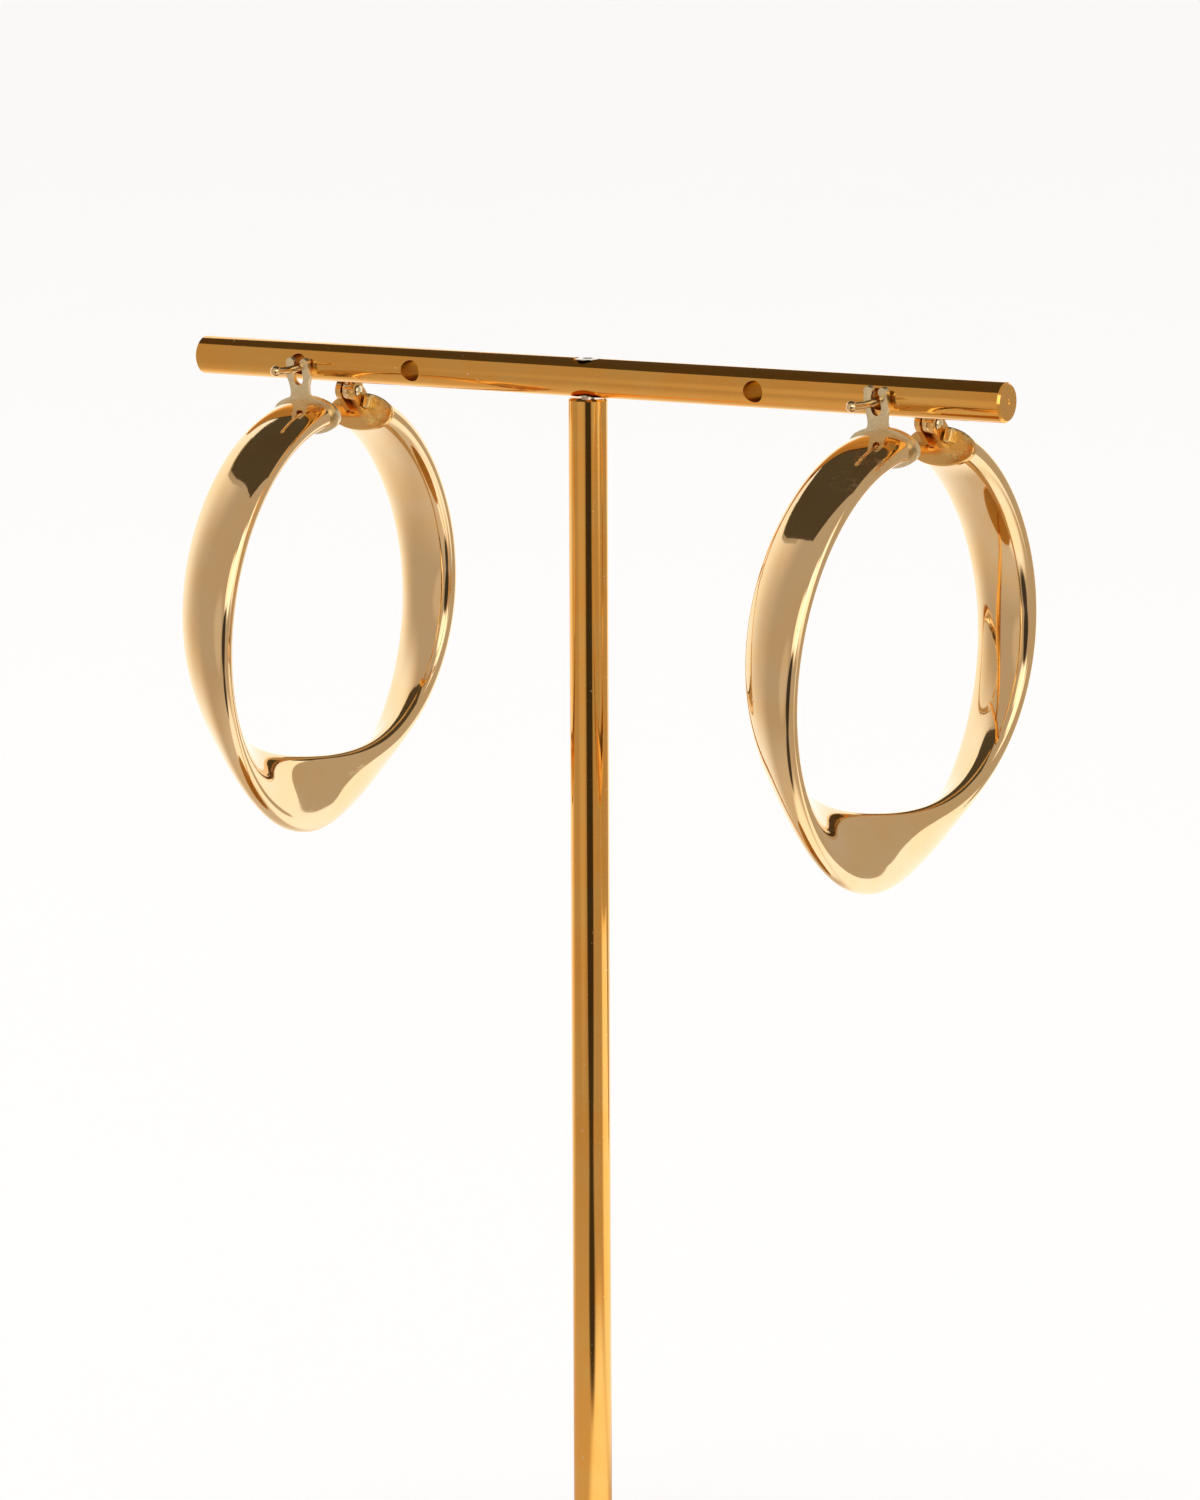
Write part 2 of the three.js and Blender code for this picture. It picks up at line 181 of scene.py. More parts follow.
# Sections of the band, evenly spaced from the catch to the hinge: radius, width and depth are shares of the
# hoop's own sizes, and twist is in degrees from the first edge facing +X.
BAND_SECTIONS = [
    {"radius": 0.926, "width": 0.9, "depth": 1.0, "twist": 0},
    {"radius": 0.982, "width": 0.99, "depth": 0.97, "twist": 11},
    {"radius": 1.038, "width": 0.98, "depth": 0.95, "twist": 21},
    {"radius": 1.022, "width": 0.98, "depth": 0.95, "twist": 48},
    {"radius": 0.993, "width": 1.07, "depth": 0.97, "twist": 88},
    {"radius": 1.036, "width": 0.96, "depth": 0.97, "twist": 135},
    {"radius": 1.032, "width": 0.96, "depth": 0.97, "twist": 164},
    {"radius": 0.955, "width": 1.04, "depth": 1.0, "twist": 173},
    {"radius": 0.935, "width": 1.0, "depth": 1.05, "twist": 184},
]

# Route of the ear wire from its eye to its tip: front is a share of the way from the pin to the tip, and
# rise is a share of the way from the pin up to the bar's axis.
WIRE_ROUTE = [
    {"front": 0.02, "rise": 0.2},
    {"front": 0.06, "rise": 0.46},
    {"front": 0.15, "rise": 0.7},
    {"front": 0.28, "rise": 0.86},
    {"front": 0.44, "rise": 0.92},
    {"front": 0.58, "rise": 0.92},
    {"front": 0.7, "rise": 0.88},
    {"front": 0.84, "rise": 0.85},
    {"front": 0.94, "rise": 0.86},
    {"front": 1, "rise": 0.885},
]

# How far each hoop and each wire is turned about its hinge from the plain hanging place, in degrees
EARRINGS = {
    "left": {"hoop_pitch": 0, "wire_pitch": 0},
    "right": {"hoop_pitch": -1, "wire_pitch": 1.5},
}

# Marks near each catch. Share and across are a place on the band's outer face: the share of its run, and the
# share of its half width towards +X. Radius is in millimetres.
STAINS = [
    {"side": "left", "share": 0.012, "across": 0.55, "radius": 1.6, "colour": (0.62, 0.34, 0.12)},
    {"side": "right", "share": 0.02, "across": 0.86, "radius": 1.2, "colour": (0.5, 0.58, 0.42)},
    {"side": "right", "share": 0.05, "across": 0.7, "radius": 2.6, "colour": (0.66, 0.4, 0.2)},
    {"side": "right", "share": 0.085, "across": 0.55, "radius": 2.4, "colour": (0.7, 0.45, 0.24)},
]

# How far out the middle of a stain lies, as a share of the band's half depth
STAIN_LIFT = 0.8

# The rough patch on each cap's face, which also carries a painted glint, in millimetres: across and up from
# its middle, and its radius
CAST_AND_GLINT_PATCH = {"across": 2.3, "up": 0.6, "radius": 2.2}

# The studio's surroundings as the metal mirrors them: round patches, each laid over the ones before it.
# Azimuth is in degrees from the camera's own side, positive to the picture's right. Elevation, radius and
# blur are in degrees too, and glow is brightness.
WALL_GLOW = 0.52
PATCHES = [
    {"name": "table", "azimuth": 0, "elevation": -90, "radius": 48, "blur": 22, "glow": 0.7},
    {"name": "wall left", "azimuth": -45, "elevation": -5, "radius": 18, "blur": 6, "glow": 0.66},
    {"name": "lit wall right", "azimuth": 125, "elevation": -8, "radius": 52, "blur": 8, "glow": 1.25},
    {"name": "backdrop", "azimuth": 195, "elevation": 8, "radius": 50, "blur": 22, "glow": 1.18},
    {"name": "window left", "azimuth": 2, "elevation": 16, "radius": 15, "blur": 4, "glow": 1.5},
    {"name": "window", "azimuth": 32, "elevation": 15, "radius": 17, "blur": 5, "glow": 2.0},
    {"name": "window right", "azimuth": 64, "elevation": 11, "radius": 16, "blur": 5, "glow": 1.5},
    {"name": "table near side", "azimuth": 45, "elevation": -66, "radius": 24, "blur": 8, "glow": 1.25},
    {"name": "camera", "azimuth": 0, "elevation": -13, "radius": 18, "blur": 3, "glow": 0.05},
    {"name": "camera stand", "azimuth": 0, "elevation": -38, "radius": 13, "blur": 4, "glow": 0.06},
]
WARM_LIGHT = (1, 0.84, 0.69)
PLAIN_LIGHT = (1, 0.97, 0.93)

# Studio, in metres
STUDIO_MIDDLE = (0, 0, 0.115)
FLOOR_RADIUS = 30
SOFTBOX_PLACE = (-0.5, -0.6, 1.6)
CAMERA_NEAR = 0.01
CAMERA_FAR = 100

# Sheets of card round the stand, out of the picture, which only the metal mirrors. Corners are in millimetres
# from the stand: to the right and away as the camera sees it, and up.
CARDS = [
    {
        "name": "dark_board",
        "colour": (1, 0.78, 0.5),
        "glow": 0.055,
        "corners": [
            (-156, 158, 280),
            (-176, 142, 280),
            (-186, 124, 280),
            (-172, 75, 280),
            (-140, 25, 280),
            (-105, -25, 280),
            (-70, -62, 280),
            (140, -62, 280),
            (200, 100, 280),
            (200, 450, 280),
            (0, 450, 280),
            (-50, 260, 280),
            (-90, 195, 280),
            (-132, 168, 280),
        ],
    },
    {
        "name": "batten",
        "colour": (1, 0.84, 0.69),
        "glow": 0.45,
        "corners": [
            (-132, 168, 280),
            (-156, 158, 280),
            (-176, 142, 280),
            (-186, 124, 280),
            (-172, 75, 280),
            (-140, 25, 280),
            (-149, 20, 280),
            (-183, 72, 280),
            (-198, 124, 280),
            (-183, 150, 280),
            (-160, 168, 280),
            (-136, 178, 280),
        ],
    },
    {
        "name": "right_screen",
        "colour": (1, 0.84, 0.66),
        "glow": 0.5,
        "corners": [
            (165, -60, 45),
            (165, 60, 45),
            (165, 115, 1),
            (165, 170, 1),
            (165, 170, 330),
            (165, -60, 330),
        ],
    },
]


class HoopSettings(bpy.types.PropertyGroup):
    """Sizes and finish of the hoops."""

    radius: FloatProperty(
        name="Hoop radius", description="Middle of the band", default=21.5 * MM, unit="LENGTH"
    )
    band_width: FloatProperty(name="Band width", description="Broad side", default=7.6 * MM, unit="LENGTH")
    band_depth: FloatProperty(name="Band depth", description="Narrow side", default=3.1 * MM, unit="LENGTH")
    roundness: FloatProperty(name="Roundness", description="2 is an ellipse, more is squarer", default=2.3)
    gold: FloatVectorProperty(
        name="Gold",
        description="Colour of the band and the wire",
        subtype="COLOR",
        size=3,
        default=(0.88, 0.66, 0.39),
    )
    pale_gold: FloatVectorProperty(
        name="Pale gold",
        description="Colour of the catch and the pin",
        subtype="COLOR",
        size=3,
        default=(0.95, 0.83, 0.57),
    )
    warm_gold: FloatVectorProperty(
        name="Warm gold", description="Colour of the cap", subtype="COLOR", size=3, default=(0.9, 0.55, 0.2)
    )


class StandSettings(bpy.types.PropertyGroup):
    """Finish of the stand."""

    brass: FloatVectorProperty(
        name="Brass", description="Colour of the rods", subtype="COLOR", size=3, default=(0.86, 0.48, 0.125)
    )
    steel: FloatVectorProperty(
        name="Steel", description="Colour of the screw", subtype="COLOR", size=3, default=(0.62, 0.6, 0.57)
    )


class StudioSettings(bpy.types.PropertyGroup):
    """Camera and floor."""

    lens: FloatProperty(name="Lens", description="Focal length", default=123.7, unit="CAMERA")
    azimuth: FloatProperty(
        name="Azimuth",
        description="Round the stand from the front",
        default=math.radians(31.595),
        subtype="ANGLE",
    )
    elevation: FloatProperty(
        name="Elevation", description="How far it looks down", default=math.radians(10.147), subtype="ANGLE"
    )
    roll: FloatProperty(name="Roll", description="Lean", default=math.radians(0.243), subtype="ANGLE")
    place: FloatVectorProperty(
        name="Place",
        description="Camera",
        subtype="TRANSLATION",
        size=3,
        default=(0.27407, -0.44354, 0.19091),
    )
    floor_glow: FloatProperty(
        name="Floor glow", description="Light that the pale floor gives off", default=0.33
    )
    softbox_size: FloatProperty(name="Softbox", description="Width", default=0.9, unit="LENGTH")
    softbox_power: FloatProperty(name="Softbox power", description="Power", default=3, unit="POWER")


def natural_spline(table, columns):
    """A smooth curve through a table's rows, which are evenly spaced from share 0 to share 1."""
    values = np.array([[row[column] for column in columns] for row in table], float)
    count = len(values)
    beside = np.ones(count - 1)
    system = np.diag(np.full(count, 4.0)) + np.diag(beside, 1) + np.diag(beside, -1)
    system[0] = np.eye(count)[0]
    system[-1] = np.eye(count)[-1]
    bends = np.zeros_like(values)
    bends[1:-1] = values[2:] - 2 * values[1:-1] + values[:-2]
    bends = np.linalg.solve(system, bends)

    def at(share):
        place = min(max(share, 0.0), 1.0) * (count - 1)
        row = min(int(place), count - 2)
        after = place - row
        before = 1 - after
        straight = before * values[row] + after * values[row + 1]
        return straight + (before**3 - before) * bends[row] + (after**3 - after) * bends[row + 1]

    return at


def placing(across, up, along, middle):
    """The matrix that puts X, Y and Z of a section along three directions, about a middle."""
    turn = Matrix((across, up, along)).transposed().to_4x4()
    return Matrix.Translation(middle) @ turn


def rod(radius, length, segments, direction="X"):
    """A closed cylinder about an axis, centred on its middle, as a bmesh."""
    bm = bmesh.new()
    turn = {"X": Matrix.Rotation(math.pi / 2, 4, "Y"), "Y": Matrix.Rotation(-math.pi / 2, 4, "X")}
    bmesh.ops.create_cone(
        bm,
        cap_ends=True,
        segments=segments,
        radius1=radius,
        radius2=radius,
        depth=length,
        matrix=turn.get(direction, Matrix.Identity(4)),
    )
    return bm


def block(width, length, height):
    """A closed box about the origin, as a bmesh."""
    bm = bmesh.new()
    bmesh.ops.create_cube(bm, size=1, matrix=Matrix.Diagonal((width, length, height, 1)))
    return bm


def moved(bm, matrix):
    """The same bmesh, moved by a matrix."""
    bmesh.ops.transform(bm, matrix=matrix, verts=bm.verts)
    return bm


def shifted(bm, x, y, z):
    """The same bmesh, moved along the axes."""
    return moved(bm, Matrix.Translation((x, y, z)))


def turned(profile, segments, axis="Z"):
    """A solid of revolution from [radius, height] pairs that start and end on the axis."""
    bm = bmesh.new()
    verts = [bm.verts.new((radius, 0, height)) for radius, height in profile]
    edges = [bm.edges.new(pair) for pair in zip(verts, verts[1:])]
    bmesh.ops.spin(
        bm,
        geom=verts + edges,
        cent=(0, 0, 0),
        axis=(0, 0, 1),
        angle=2 * math.pi,
        steps=segments,
        use_merge=True,
    )
    bmesh.ops.remove_doubles(bm, verts=bm.verts, dist=TURNED_MERGE)
    bmesh.ops.recalc_face_normals(bm, faces=bm.faces)
    if axis == "X":
        moved(bm, Matrix.Rotation(math.pi / 2, 4, "Y"))
    return bm


def lofted(ring, steps, place):
    """Carries a closed ring of edges through the places from share 0 to share 1, and closes both ends."""
    edges = list(ring.edges)
    here = place(0)
    moved(ring, here)
    for step in range(1, steps + 1):
        there = place(step / steps)
        made = bmesh.ops.extrude_edge_only(ring, edges=edges)["geom"]
        verts = [item for item in made if isinstance(item, bmesh.types.BMVert)]
        edges = [item for item in made if isinstance(item, bmesh.types.BMEdge) and item.is_boundary]
        bmesh.ops.transform(ring, matrix=there @ here.inverted(), verts=verts)
        here = there
    bmesh.ops.holes_fill(ring, edges=[edge for edge in ring.edges if edge.is_boundary], sides=0)
    bmesh.ops.recalc_face_normals(ring, faces=ring.faces)
    return ring


def loose_object(name, bm):
    """An object in the scene that holds a bmesh, which is freed."""
    mesh = bpy.data.meshes.new(name)
    bm.to_mesh(mesh)
    bm.free()
    made = bpy.data.objects.new(name, mesh)
    bpy.context.scene.collection.objects.link(made)
    return made


def combined(bm, others, operation):
    """Joins solids to a solid, or cuts them from it, and gives one bmesh."""
    piece = loose_object("piece", bm)
    tools = [loose_object("tool", other) for other in others]
    for tool in tools:
        modifier = piece.modifiers.new("combine", "BOOLEAN")
        modifier.operation = operation
        modifier.solver = "EXACT"
        modifier.object = tool
    graph = bpy.context.evaluated_depsgraph_get()
    mesh = bpy.data.meshes.new_from_object(piece.evaluated_get(graph))
    result = bmesh.new()
    result.from_mesh(mesh)
    for used in [piece, *tools]:
        bpy.data.meshes.remove(used.data)
    bpy.data.meshes.remove(mesh)
    bmesh.ops.remove_doubles(result, verts=result.verts, dist=CUT_MERGE)
    bmesh.ops.dissolve_degenerate(result, edges=result.edges, dist=CUT_MERGE)
    return result


def eased(bm, width, segments=3, angle=35):
    """Rounds every edge that is sharper than an angle."""
    limit = math.radians(angle)
    sharp = [edge for edge in bm.edges if edge.is_manifold and edge.calc_face_angle(0) > limit]
    bmesh.ops.bevel(
        bm,
        geom=sharp,
        offset=width,
        offset_type="OFFSET",
        affect="EDGES",
        segments=segments,
        profile=0.5,
        material=-1,
        clamp_overlap=True,
    )
    return bm


def finished(name, bm, body, material, nodes, smooth=40):
    """A piece of the object: its mesh in metres, its finish, its body and the nodes it stands for."""
    piece = loose_object(name, bm)
    piece.data.shade_smooth()
    piece.data.set_sharp_from_angle(angle=math.radians(smooth))
    piece.data.materials.append(material)
    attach(piece, body)
    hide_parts(*nodes)
    return piece


def stand_place():
    """From millimetres to the stand's place in metres."""
    return Matrix.Scale(MM, 4)


def earring_place(side, pitch):
    """From the earring's own frame in millimetres to its hanging place in metres."""
    joint = next(joint for joint in frame["joints"] if joint["child"] == f"{side}_earring")
    axis = Vector(joint["axis"]).normalized()
    turn = Euler((math.radians(pitch), -math.asin(axis.z), math.atan2(axis.y, axis.x)), "XYZ")
    about_pin = Matrix.Translation((0, -PIN_BACK, PIN_DROP))
    return Matrix.Translation(joint["pos_m"]) @ turn.to_matrix().to_4x4() @ Matrix.Scale(MM, 4) @ about_pin


class Hoop:
    """The band's run from the catch to the hinge."""

    SIDES = 72
    STEPS = 216

    def __init__(self, settings):
        self.radius = settings.radius / MM
        self.width = settings.band_width / MM
        self.depth = settings.band_depth / MM
        self.roundness = settings.roundness
        self.section = natural_spline(BAND_SECTIONS, ("radius", "width", "depth", "twist"))
        first_radius = BAND_SECTIONS[0]["radius"] * self.radius
        last_radius = BAND_SECTIONS[-1]["radius"] * self.radius
        self.first_turn = math.asin((CATCH_FRONT + HOOP_SETBACK) / first_radius)
        self.last_turn = 2 * math.pi - math.asin((CAP_BACK - HOOP_SETBACK) / last_radius)
        drop = CATCH_DROP + first_radius * math.cos(self.first_turn)
        self.middle = Vector((BAND_OFFSET, HOOP_SETBACK, -drop))

    def outward(self, share):
        turn = self.first_turn + (self.last_turn - self.first_turn) * share
        return Vector((0, -math.sin(turn), math.cos(turn)))

    def along(self, share):
        return X_AXIS.cross(self.outward(share))

    def place(self, share):
        """Puts the unit section at a share of the way round."""
        radius, width, depth, twist = self.section(share)
        outward = self.outward(share)
        angle = math.radians(twist)
        across = X_AXIS * math.cos(angle) + outward * math.sin(angle)
        through = X_AXIS * -math.sin(angle) + outward * math.cos(angle)
        middle = self.middle + outward * (radius * self.radius)
        half_width = width * self.width / 2
        half_depth = depth * self.depth / 2
        return placing(across * half_width, through * half_depth, self.along(share), middle)

    def end(self, share):
        """The middle of the band's end on the earring's middle line."""
        middle = self.place(share).to_translation()
        return Vector((0, middle.y, middle.z)), middle

    def band(self):
        """The twisted band."""
        ring = bmesh.new()
        bmesh.ops.create_circle(ring, cap_ends=False, segments=self.SIDES, radius=1)
        power = 2 / self.roundness
        for vert in ring.verts:
            vert.co = [math.copysign(abs(value) ** power, value) for value in vert.co]
        return lofted(ring, self.STEPS, self.place)


def fork_outline():
    """The fork seen from the front, on the catch plate's middle: x across, y up the plate."""
    root = FORK_ROOT_WIDTH / 2
    neck = FORK_NECK_WIDTH / 2
    ear = EAR_DIAMETER / 2
    ear_middle = Vector((EAR_GAP / 2 + ear, EAR_RISE))
    bend = (FORK_ROOT_RISE + FORK_NECK_RISE) / 2
    notch_middle = Vector((0, EAR_RISE - NOTCH_DEPTH + NOTCH_HEIGHT / 2))
    waist = Vector((FORK_WIDTH / 2, notch_middle.y))
    notch = (NOTCH_WIDTH / 2, NOTCH_HEIGHT / 2)
    half = [Vector((root, FORK_ROOT_RISE))]
    half += bow(half[-1], Vector((neck, bend)), Vector((neck, FORK_NECK_RISE)))
    half += bow(half[-1], Vector((neck, (FORK_NECK_RISE + waist.y) / 2)), waist)
    half += arc(ear_middle, (ear, ear), math.radians(-20), math.radians(225))
    half += arc(notch_middle, notch, math.radians(20), math.radians(-90))
    mirrored = [Vector((-point.x, point.y)) for point in reversed(half[:-1])]
    return half + mirrored


def bow(start, pull, end, steps=6):
    """Points along a bow from a start to an end, pulled towards a third point."""
    shares = [step / steps for step in range(1, steps + 1)]
    return [start * (1 - s) ** 2 + pull * (2 * s * (1 - s)) + end * s * s for s in shares]


def arc(middle, radii, start, end, steps=14):
    """Points along an arc of an ellipse."""
    angles = [start + (end - start) * step / steps for step in range(steps + 1)]
    return [middle + Vector((math.cos(angle) * radii[0], math.sin(angle) * radii[1])) for angle in angles]


def plate(points, thickness):
    """A flat plate from an outline, centred on its thickness, which runs along Z."""
    bm = bmesh.new()
    face = bm.faces.new([bm.verts.new((point.x, point.y, -thickness / 2)) for point in points])
    made = bmesh.ops.extrude_face_region(bm, geom=[face])["geom"]
    top = [item for item in made if isinstance(item, bmesh.types.BMVert)]
    bmesh.ops.translate(bm, verts=top, vec=(0, 0, thickness))
    bmesh.ops.recalc_face_normals(bm, faces=bm.faces)
    return bm


def oval(width, height, thickness):
    """An oval plate across Z."""
    return moved(rod(0.5, thickness, PLATE_SIDES, "Z"), Matrix.Diagonal((width, height, 1, 1)))


def catch_solid(hoop):
    """The oval plate that closes the front end, with its fork."""
    on_line, middle = hoop.end(0)
    along = hoop.along(0)
    up = along.cross(X_AXIS)
    disc = moved(oval(CATCH_WIDTH, CATCH_HEIGHT, PLATE_THICKNESS), placing(X_AXIS, up, along, middle))
    fork = moved(plate(fork_outline(), PLATE_THICKNESS), placing(X_AXIS, up, along, on_line))
    return eased(combined(disc, [fork], "UNION"), FORK_ROUNDING)


def cap_frame(hoop):
    """Places the cap's fittings: X across, Y into the cap from its face and Z up the face."""
    along = hoop.along(1)
    return placing(X_AXIS, -along, along.cross(X_AXIS), hoop.end(1)[0])


def cap_solid(hoop):
    """The oval cap that closes the back end, with its lugs, tab and vent slot."""
    on_line, middle = hoop.end(1)
    along = hoop.along(1)
    up = along.cross(X_AXIS)
    flat = placing(X_AXIS, up, along, middle)
    fittings = cap_frame(hoop)
    cap = eased(moved(oval(CAP_WIDTH, CAP_HEIGHT, CAP_THICKNESS), flat), CAP_ROUNDING)
    pin = Vector((0, PIN_BACK, -PIN_DROP))
    root = on_line + up * LUG_LEG_RISE
    run = root - pin
    joined = []
    for side in (-1, 1):
        x = side * (LUG_GAP + LUG_THICKNESS) / 2
        eye = shifted(rod(LUG_DIAMETER / 2, LUG_THICKNESS, LUG_SIDES), x, pin.y, pin.z)
        lean = Matrix.Rotation(math.atan2(run.z, run.y), 4, "X")
        leg = moved(block(LUG_THICKNESS, run.length, LUG_LEG_WIDTH), lean)
        leg = shifted(leg, x, pin.y + run.y / 2, pin.z + run.z / 2)
        joined.append(eased(combined(eye, [leg], "UNION"), LUG_ROUNDING))
    tab_length = CAP_THICKNESS / 2 + TAB_PROUD
    reach = LUG_GAP / 2 + LUG_THICKNESS
    tab = eased(block(TAB_WIDTH, tab_length, TAB_HEIGHT), TAB_ROUNDING)
    shifted(tab, reach + TAB_GAP + TAB_WIDTH / 2, -tab_length / 2, TAB_RISE)
    joined.append(moved(tab, fittings))
    body = combined(cap, joined, "UNION")
    slot = shifted(block(VENT_LENGTH, VENT_DEPTH, VENT_WIDTH), -VENT_OFFSET, 0, -VENT_DROP)
    vent = moved(slot, fittings)
    bore = shifted(rod(PIN_DIAMETER / 2 + PIN_CLEARANCE, 4 * reach, PIN_SIDES), 0, pin.y, pin.z)
    return combined(body, [vent, bore], "DIFFERENCE")


def pin_solid():
    """The riveted pin: a straight shank with a domed head at each end."""
    reach = LUG_GAP / 2 + LUG_THICKNESS + PIN_CLEARANCE
    shank = PIN_DIAMETER / 2
    head = RIVET_DIAMETER / 2
    dome = [(head * math.cos(a), reach + RIVET_HEIGHT * math.sin(a)) for a in np.radians((0, 25, 50, 72))]
    half = [(shank, reach), (head, reach)] + dome[1:]
    profile = [(0, -reach - RIVET_HEIGHT)]
    profile += [(radius, -height) for radius, height in reversed(half)]
    profile += half + [(0, reach + RIVET_HEIGHT)]
    return shifted(turned(profile, PIN_SIDES, "X"), 0, PIN_BACK, -PIN_DROP)


def wire_solid():
    """The ear wire about the pin: a flat eye, an arched round wire and a ball at its tip."""
    reach = PIN_BACK + WIRE_TIP_FRONT
    route = natural_spline(WIRE_ROUTE, ("front", "rise"))
    ball = WIRE_BALL_DIAMETER / 2
    thin = WIRE_DIAMETER / 2

    def point(share):
        front, rise = route(share)
        return Vector((0, -front * reach, rise * PIN_DROP))

    tip = point(1)

    def place(share):
        here = point(share)
        ahead = (point(min(share + WIRE_STRIDE, 1)) - point(max(share - WIRE_STRIDE, 0))).normalized()
        up = ahead.cross(X_AXIS)
        return placing(X_AXIS * thin, up * thin, ahead, here)

    ring = bmesh.new()
    bmesh.ops.create_circle(ring, cap_ends=False, segments=WIRE_SIDES, radius=1)
    arch = lofted(ring, WIRE_STEPS, place)
    end = bmesh.new()
    bmesh.ops.create_uvsphere(end, u_segments=32, v_segments=20, radius=ball)
    eye = eased(rod(WIRE_EYE_DIAMETER / 2, WIRE_DIAMETER, EYE_SIDES), EYE_ROUNDING, 4)
    body = combined(arch, [shifted(end, tip.x, tip.y, tip.z), eye], "UNION")
    bore = rod(PIN_DIAMETER / 2 + PIN_CLEARANCE, 2 * WIRE_DIAMETER, PIN_SIDES)
    return shifted(combined(body, [bore], "DIFFERENCE"), 0, PIN_BACK, -PIN_DROP)


def add(tree, kind, sockets=None, **settings):
    """Adds a node, sets its options, and fills or links its sockets."""
    made = tree.nodes.new(kind)
    for name, value in settings.items():
        setattr(made, name, value)
    for name, value in (sockets or {}).items():
        if isinstance(value, bpy.types.NodeSocket):
            tree.links.new(value, made.inputs[name])
        else:
            made.inputs[name].default_value = value
    return made


def calculate(tree, operation, first, second=0.0, clamp=False):
    """A sum on one or two values."""
    return add(tree, "ShaderNodeMath", {0: first, 1: second}, operation=operation, use_clamp=clamp).outputs[0]


def ramp(tree, value, low, high, to_low=0.0, to_high=1.0):
    """A value eased from one range to another."""
    sockets = {"Value": value, "From Min": low, "From Max": high, "To Min": to_low, "To Max": to_high}
    return add(tree, "ShaderNodeMapRange", sockets, interpolation_type="SMOOTHSTEP").outputs["Result"]


def blended(tree, mask, first, second):
    """A colour between two colours, as a mask says."""
    made = add(tree, "ShaderNodeMix", data_type="RGBA")
    tree.links.new(mask, made.inputs["Factor"])
    colours = [socket for socket in made.inputs if socket.type == "RGBA"]
    for socket, colour in zip(colours, (first, second)):
        if isinstance(colour, bpy.types.NodeSocket):
            tree.links.new(colour, socket)
        else:
            socket.default_value = (*colour, 1)
    return next(socket for socket in made.outputs if socket.type == "RGBA")


def shader_group(name, inputs, outputs):
    """An empty node group with named sockets, and its first and last nodes."""
    group = bpy.data.node_groups.new(name, "ShaderNodeTree")
    for label, kind, value in inputs:
        socket = group.interface.new_socket(label, in_out="INPUT", socket_type=kind)
        if value is not None:
            socket.default_value = value
    for label in outputs:
        group.interface.new_socket(label, in_out="OUTPUT", socket_type="NodeSocketFloat")
    return group, group.nodes.new("NodeGroupInput"), group.nodes.new("NodeGroupOutput")


def scratches_group():
    """Fine hairlines in three directions."""
    inputs = [("Vector", "NodeSocketVector", None), ("Density", "NodeSocketFloat", 0.5)]
    group, entry, leave = shader_group("hairline scratches", inputs, ["Mask"])
    edge = calculate(group, "SUBTRACT", 0.78, calculate(group, "MULTIPLY", entry.outputs["Density"], 0.12))
    mask = None
    for turn in ((0.3, 0.2, 0.5), (1.1, 0.7, 1.9), (2.1, 1.6, 0.8)):
        stretched = add(
            group,
            "ShaderNodeMapping",
            {"Vector": entry.outputs["Vector"], "Rotation": turn, "Scale": (9000, 260, 9000)},
        )
        noise = add(group, "ShaderNodeTexNoise", {"Vector": stretched.outputs[0], "Scale": 1, "Detail": 1})
        above = calculate(group, "SUBTRACT", noise.outputs["Fac"], edge)
        line = calculate(group, "MULTIPLY", above, 18, clamp=True)
        mask = line if mask is None else calculate(group, "MAXIMUM", mask, line)
    group.links.new(mask, leave.inputs["Mask"])
    return group


def specks_group():
    """Small scattered pits and dust."""
    inputs = [("Vector", "NodeSocketVector", None), ("Scale", "NodeSocketFloat", 700.0)]
    inputs.append(("Share", "NodeSocketFloat", 0.2))
    group, entry, leave = shader_group("specks", inputs, ["Mask"])
    cells = add(
        group,
        "ShaderNodeTexVoronoi",
        {"Vector": entry.outputs["Vector"], "Scale": entry.outputs["Scale"]},
    )
    spot = ramp(group, cells.outputs["Distance"], 0.16, 0.06)
    pick = add(group, "ShaderNodeSeparateColor", {"Color": cells.outputs["Color"]})
    kept = calculate(group, "LESS_THAN", pick.outputs[0], entry.outputs["Share"])
    group.links.new(calculate(group, "MULTIPLY", spot, kept), leave.inputs["Mask"])
    return group


def waviness_group():
    """The slow unevenness that hand polishing leaves, and fine grain."""
    inputs = [("Vector", "NodeSocketVector", None)]
    group, entry, leave = shader_group("polished waviness", inputs, ["Slow", "Fine"])
    slow = add(group, "ShaderNodeTexNoise", {"Vector": entry.outputs[0], "Scale": 210, "Detail": 1.5})
    fine = add(group, "ShaderNodeTexNoise", {"Vector": entry.outputs[0], "Scale": 5200, "Detail": 3})
    group.links.new(slow.outputs["Fac"], leave.inputs["Slow"])
    group.links.new(fine.outputs["Fac"], leave.inputs["Fine"])
    return group


GROUPS = {
    "scratches": scratches_group,
    "specks": specks_group,
    "waviness": waviness_group,
}


def use_group(tree, name, vector, **values):
    """A shared effect, built once and given this material's own values."""
    made = tree.nodes.new("ShaderNodeGroup")
    key = f"effect {name}"
    group = bpy.data.node_groups.get(key)
    if group is None:
        group = GROUPS[name]()
        group.name = key
    made.node_tree = group
    tree.links.new(vector, made.inputs["Vector"])
    for label, value in values.items():
        made.inputs[label].default_value = value
    return made.outputs


def new_metal(name, roughness):
    """A metal material with its Principled shader and its coordinates."""
    material = bpy.data.materials.new(name)
    material.use_nodes = True
    tree = material.node_tree
    shader = tree.nodes["Principled BSDF"]
    shader.inputs["Metallic"].default_value = 1
    shader.inputs["Roughness"].default_value = roughness
    vector = tree.nodes.new("ShaderNodeTexCoord").outputs["Object"]
    return material, tree, shader, vector


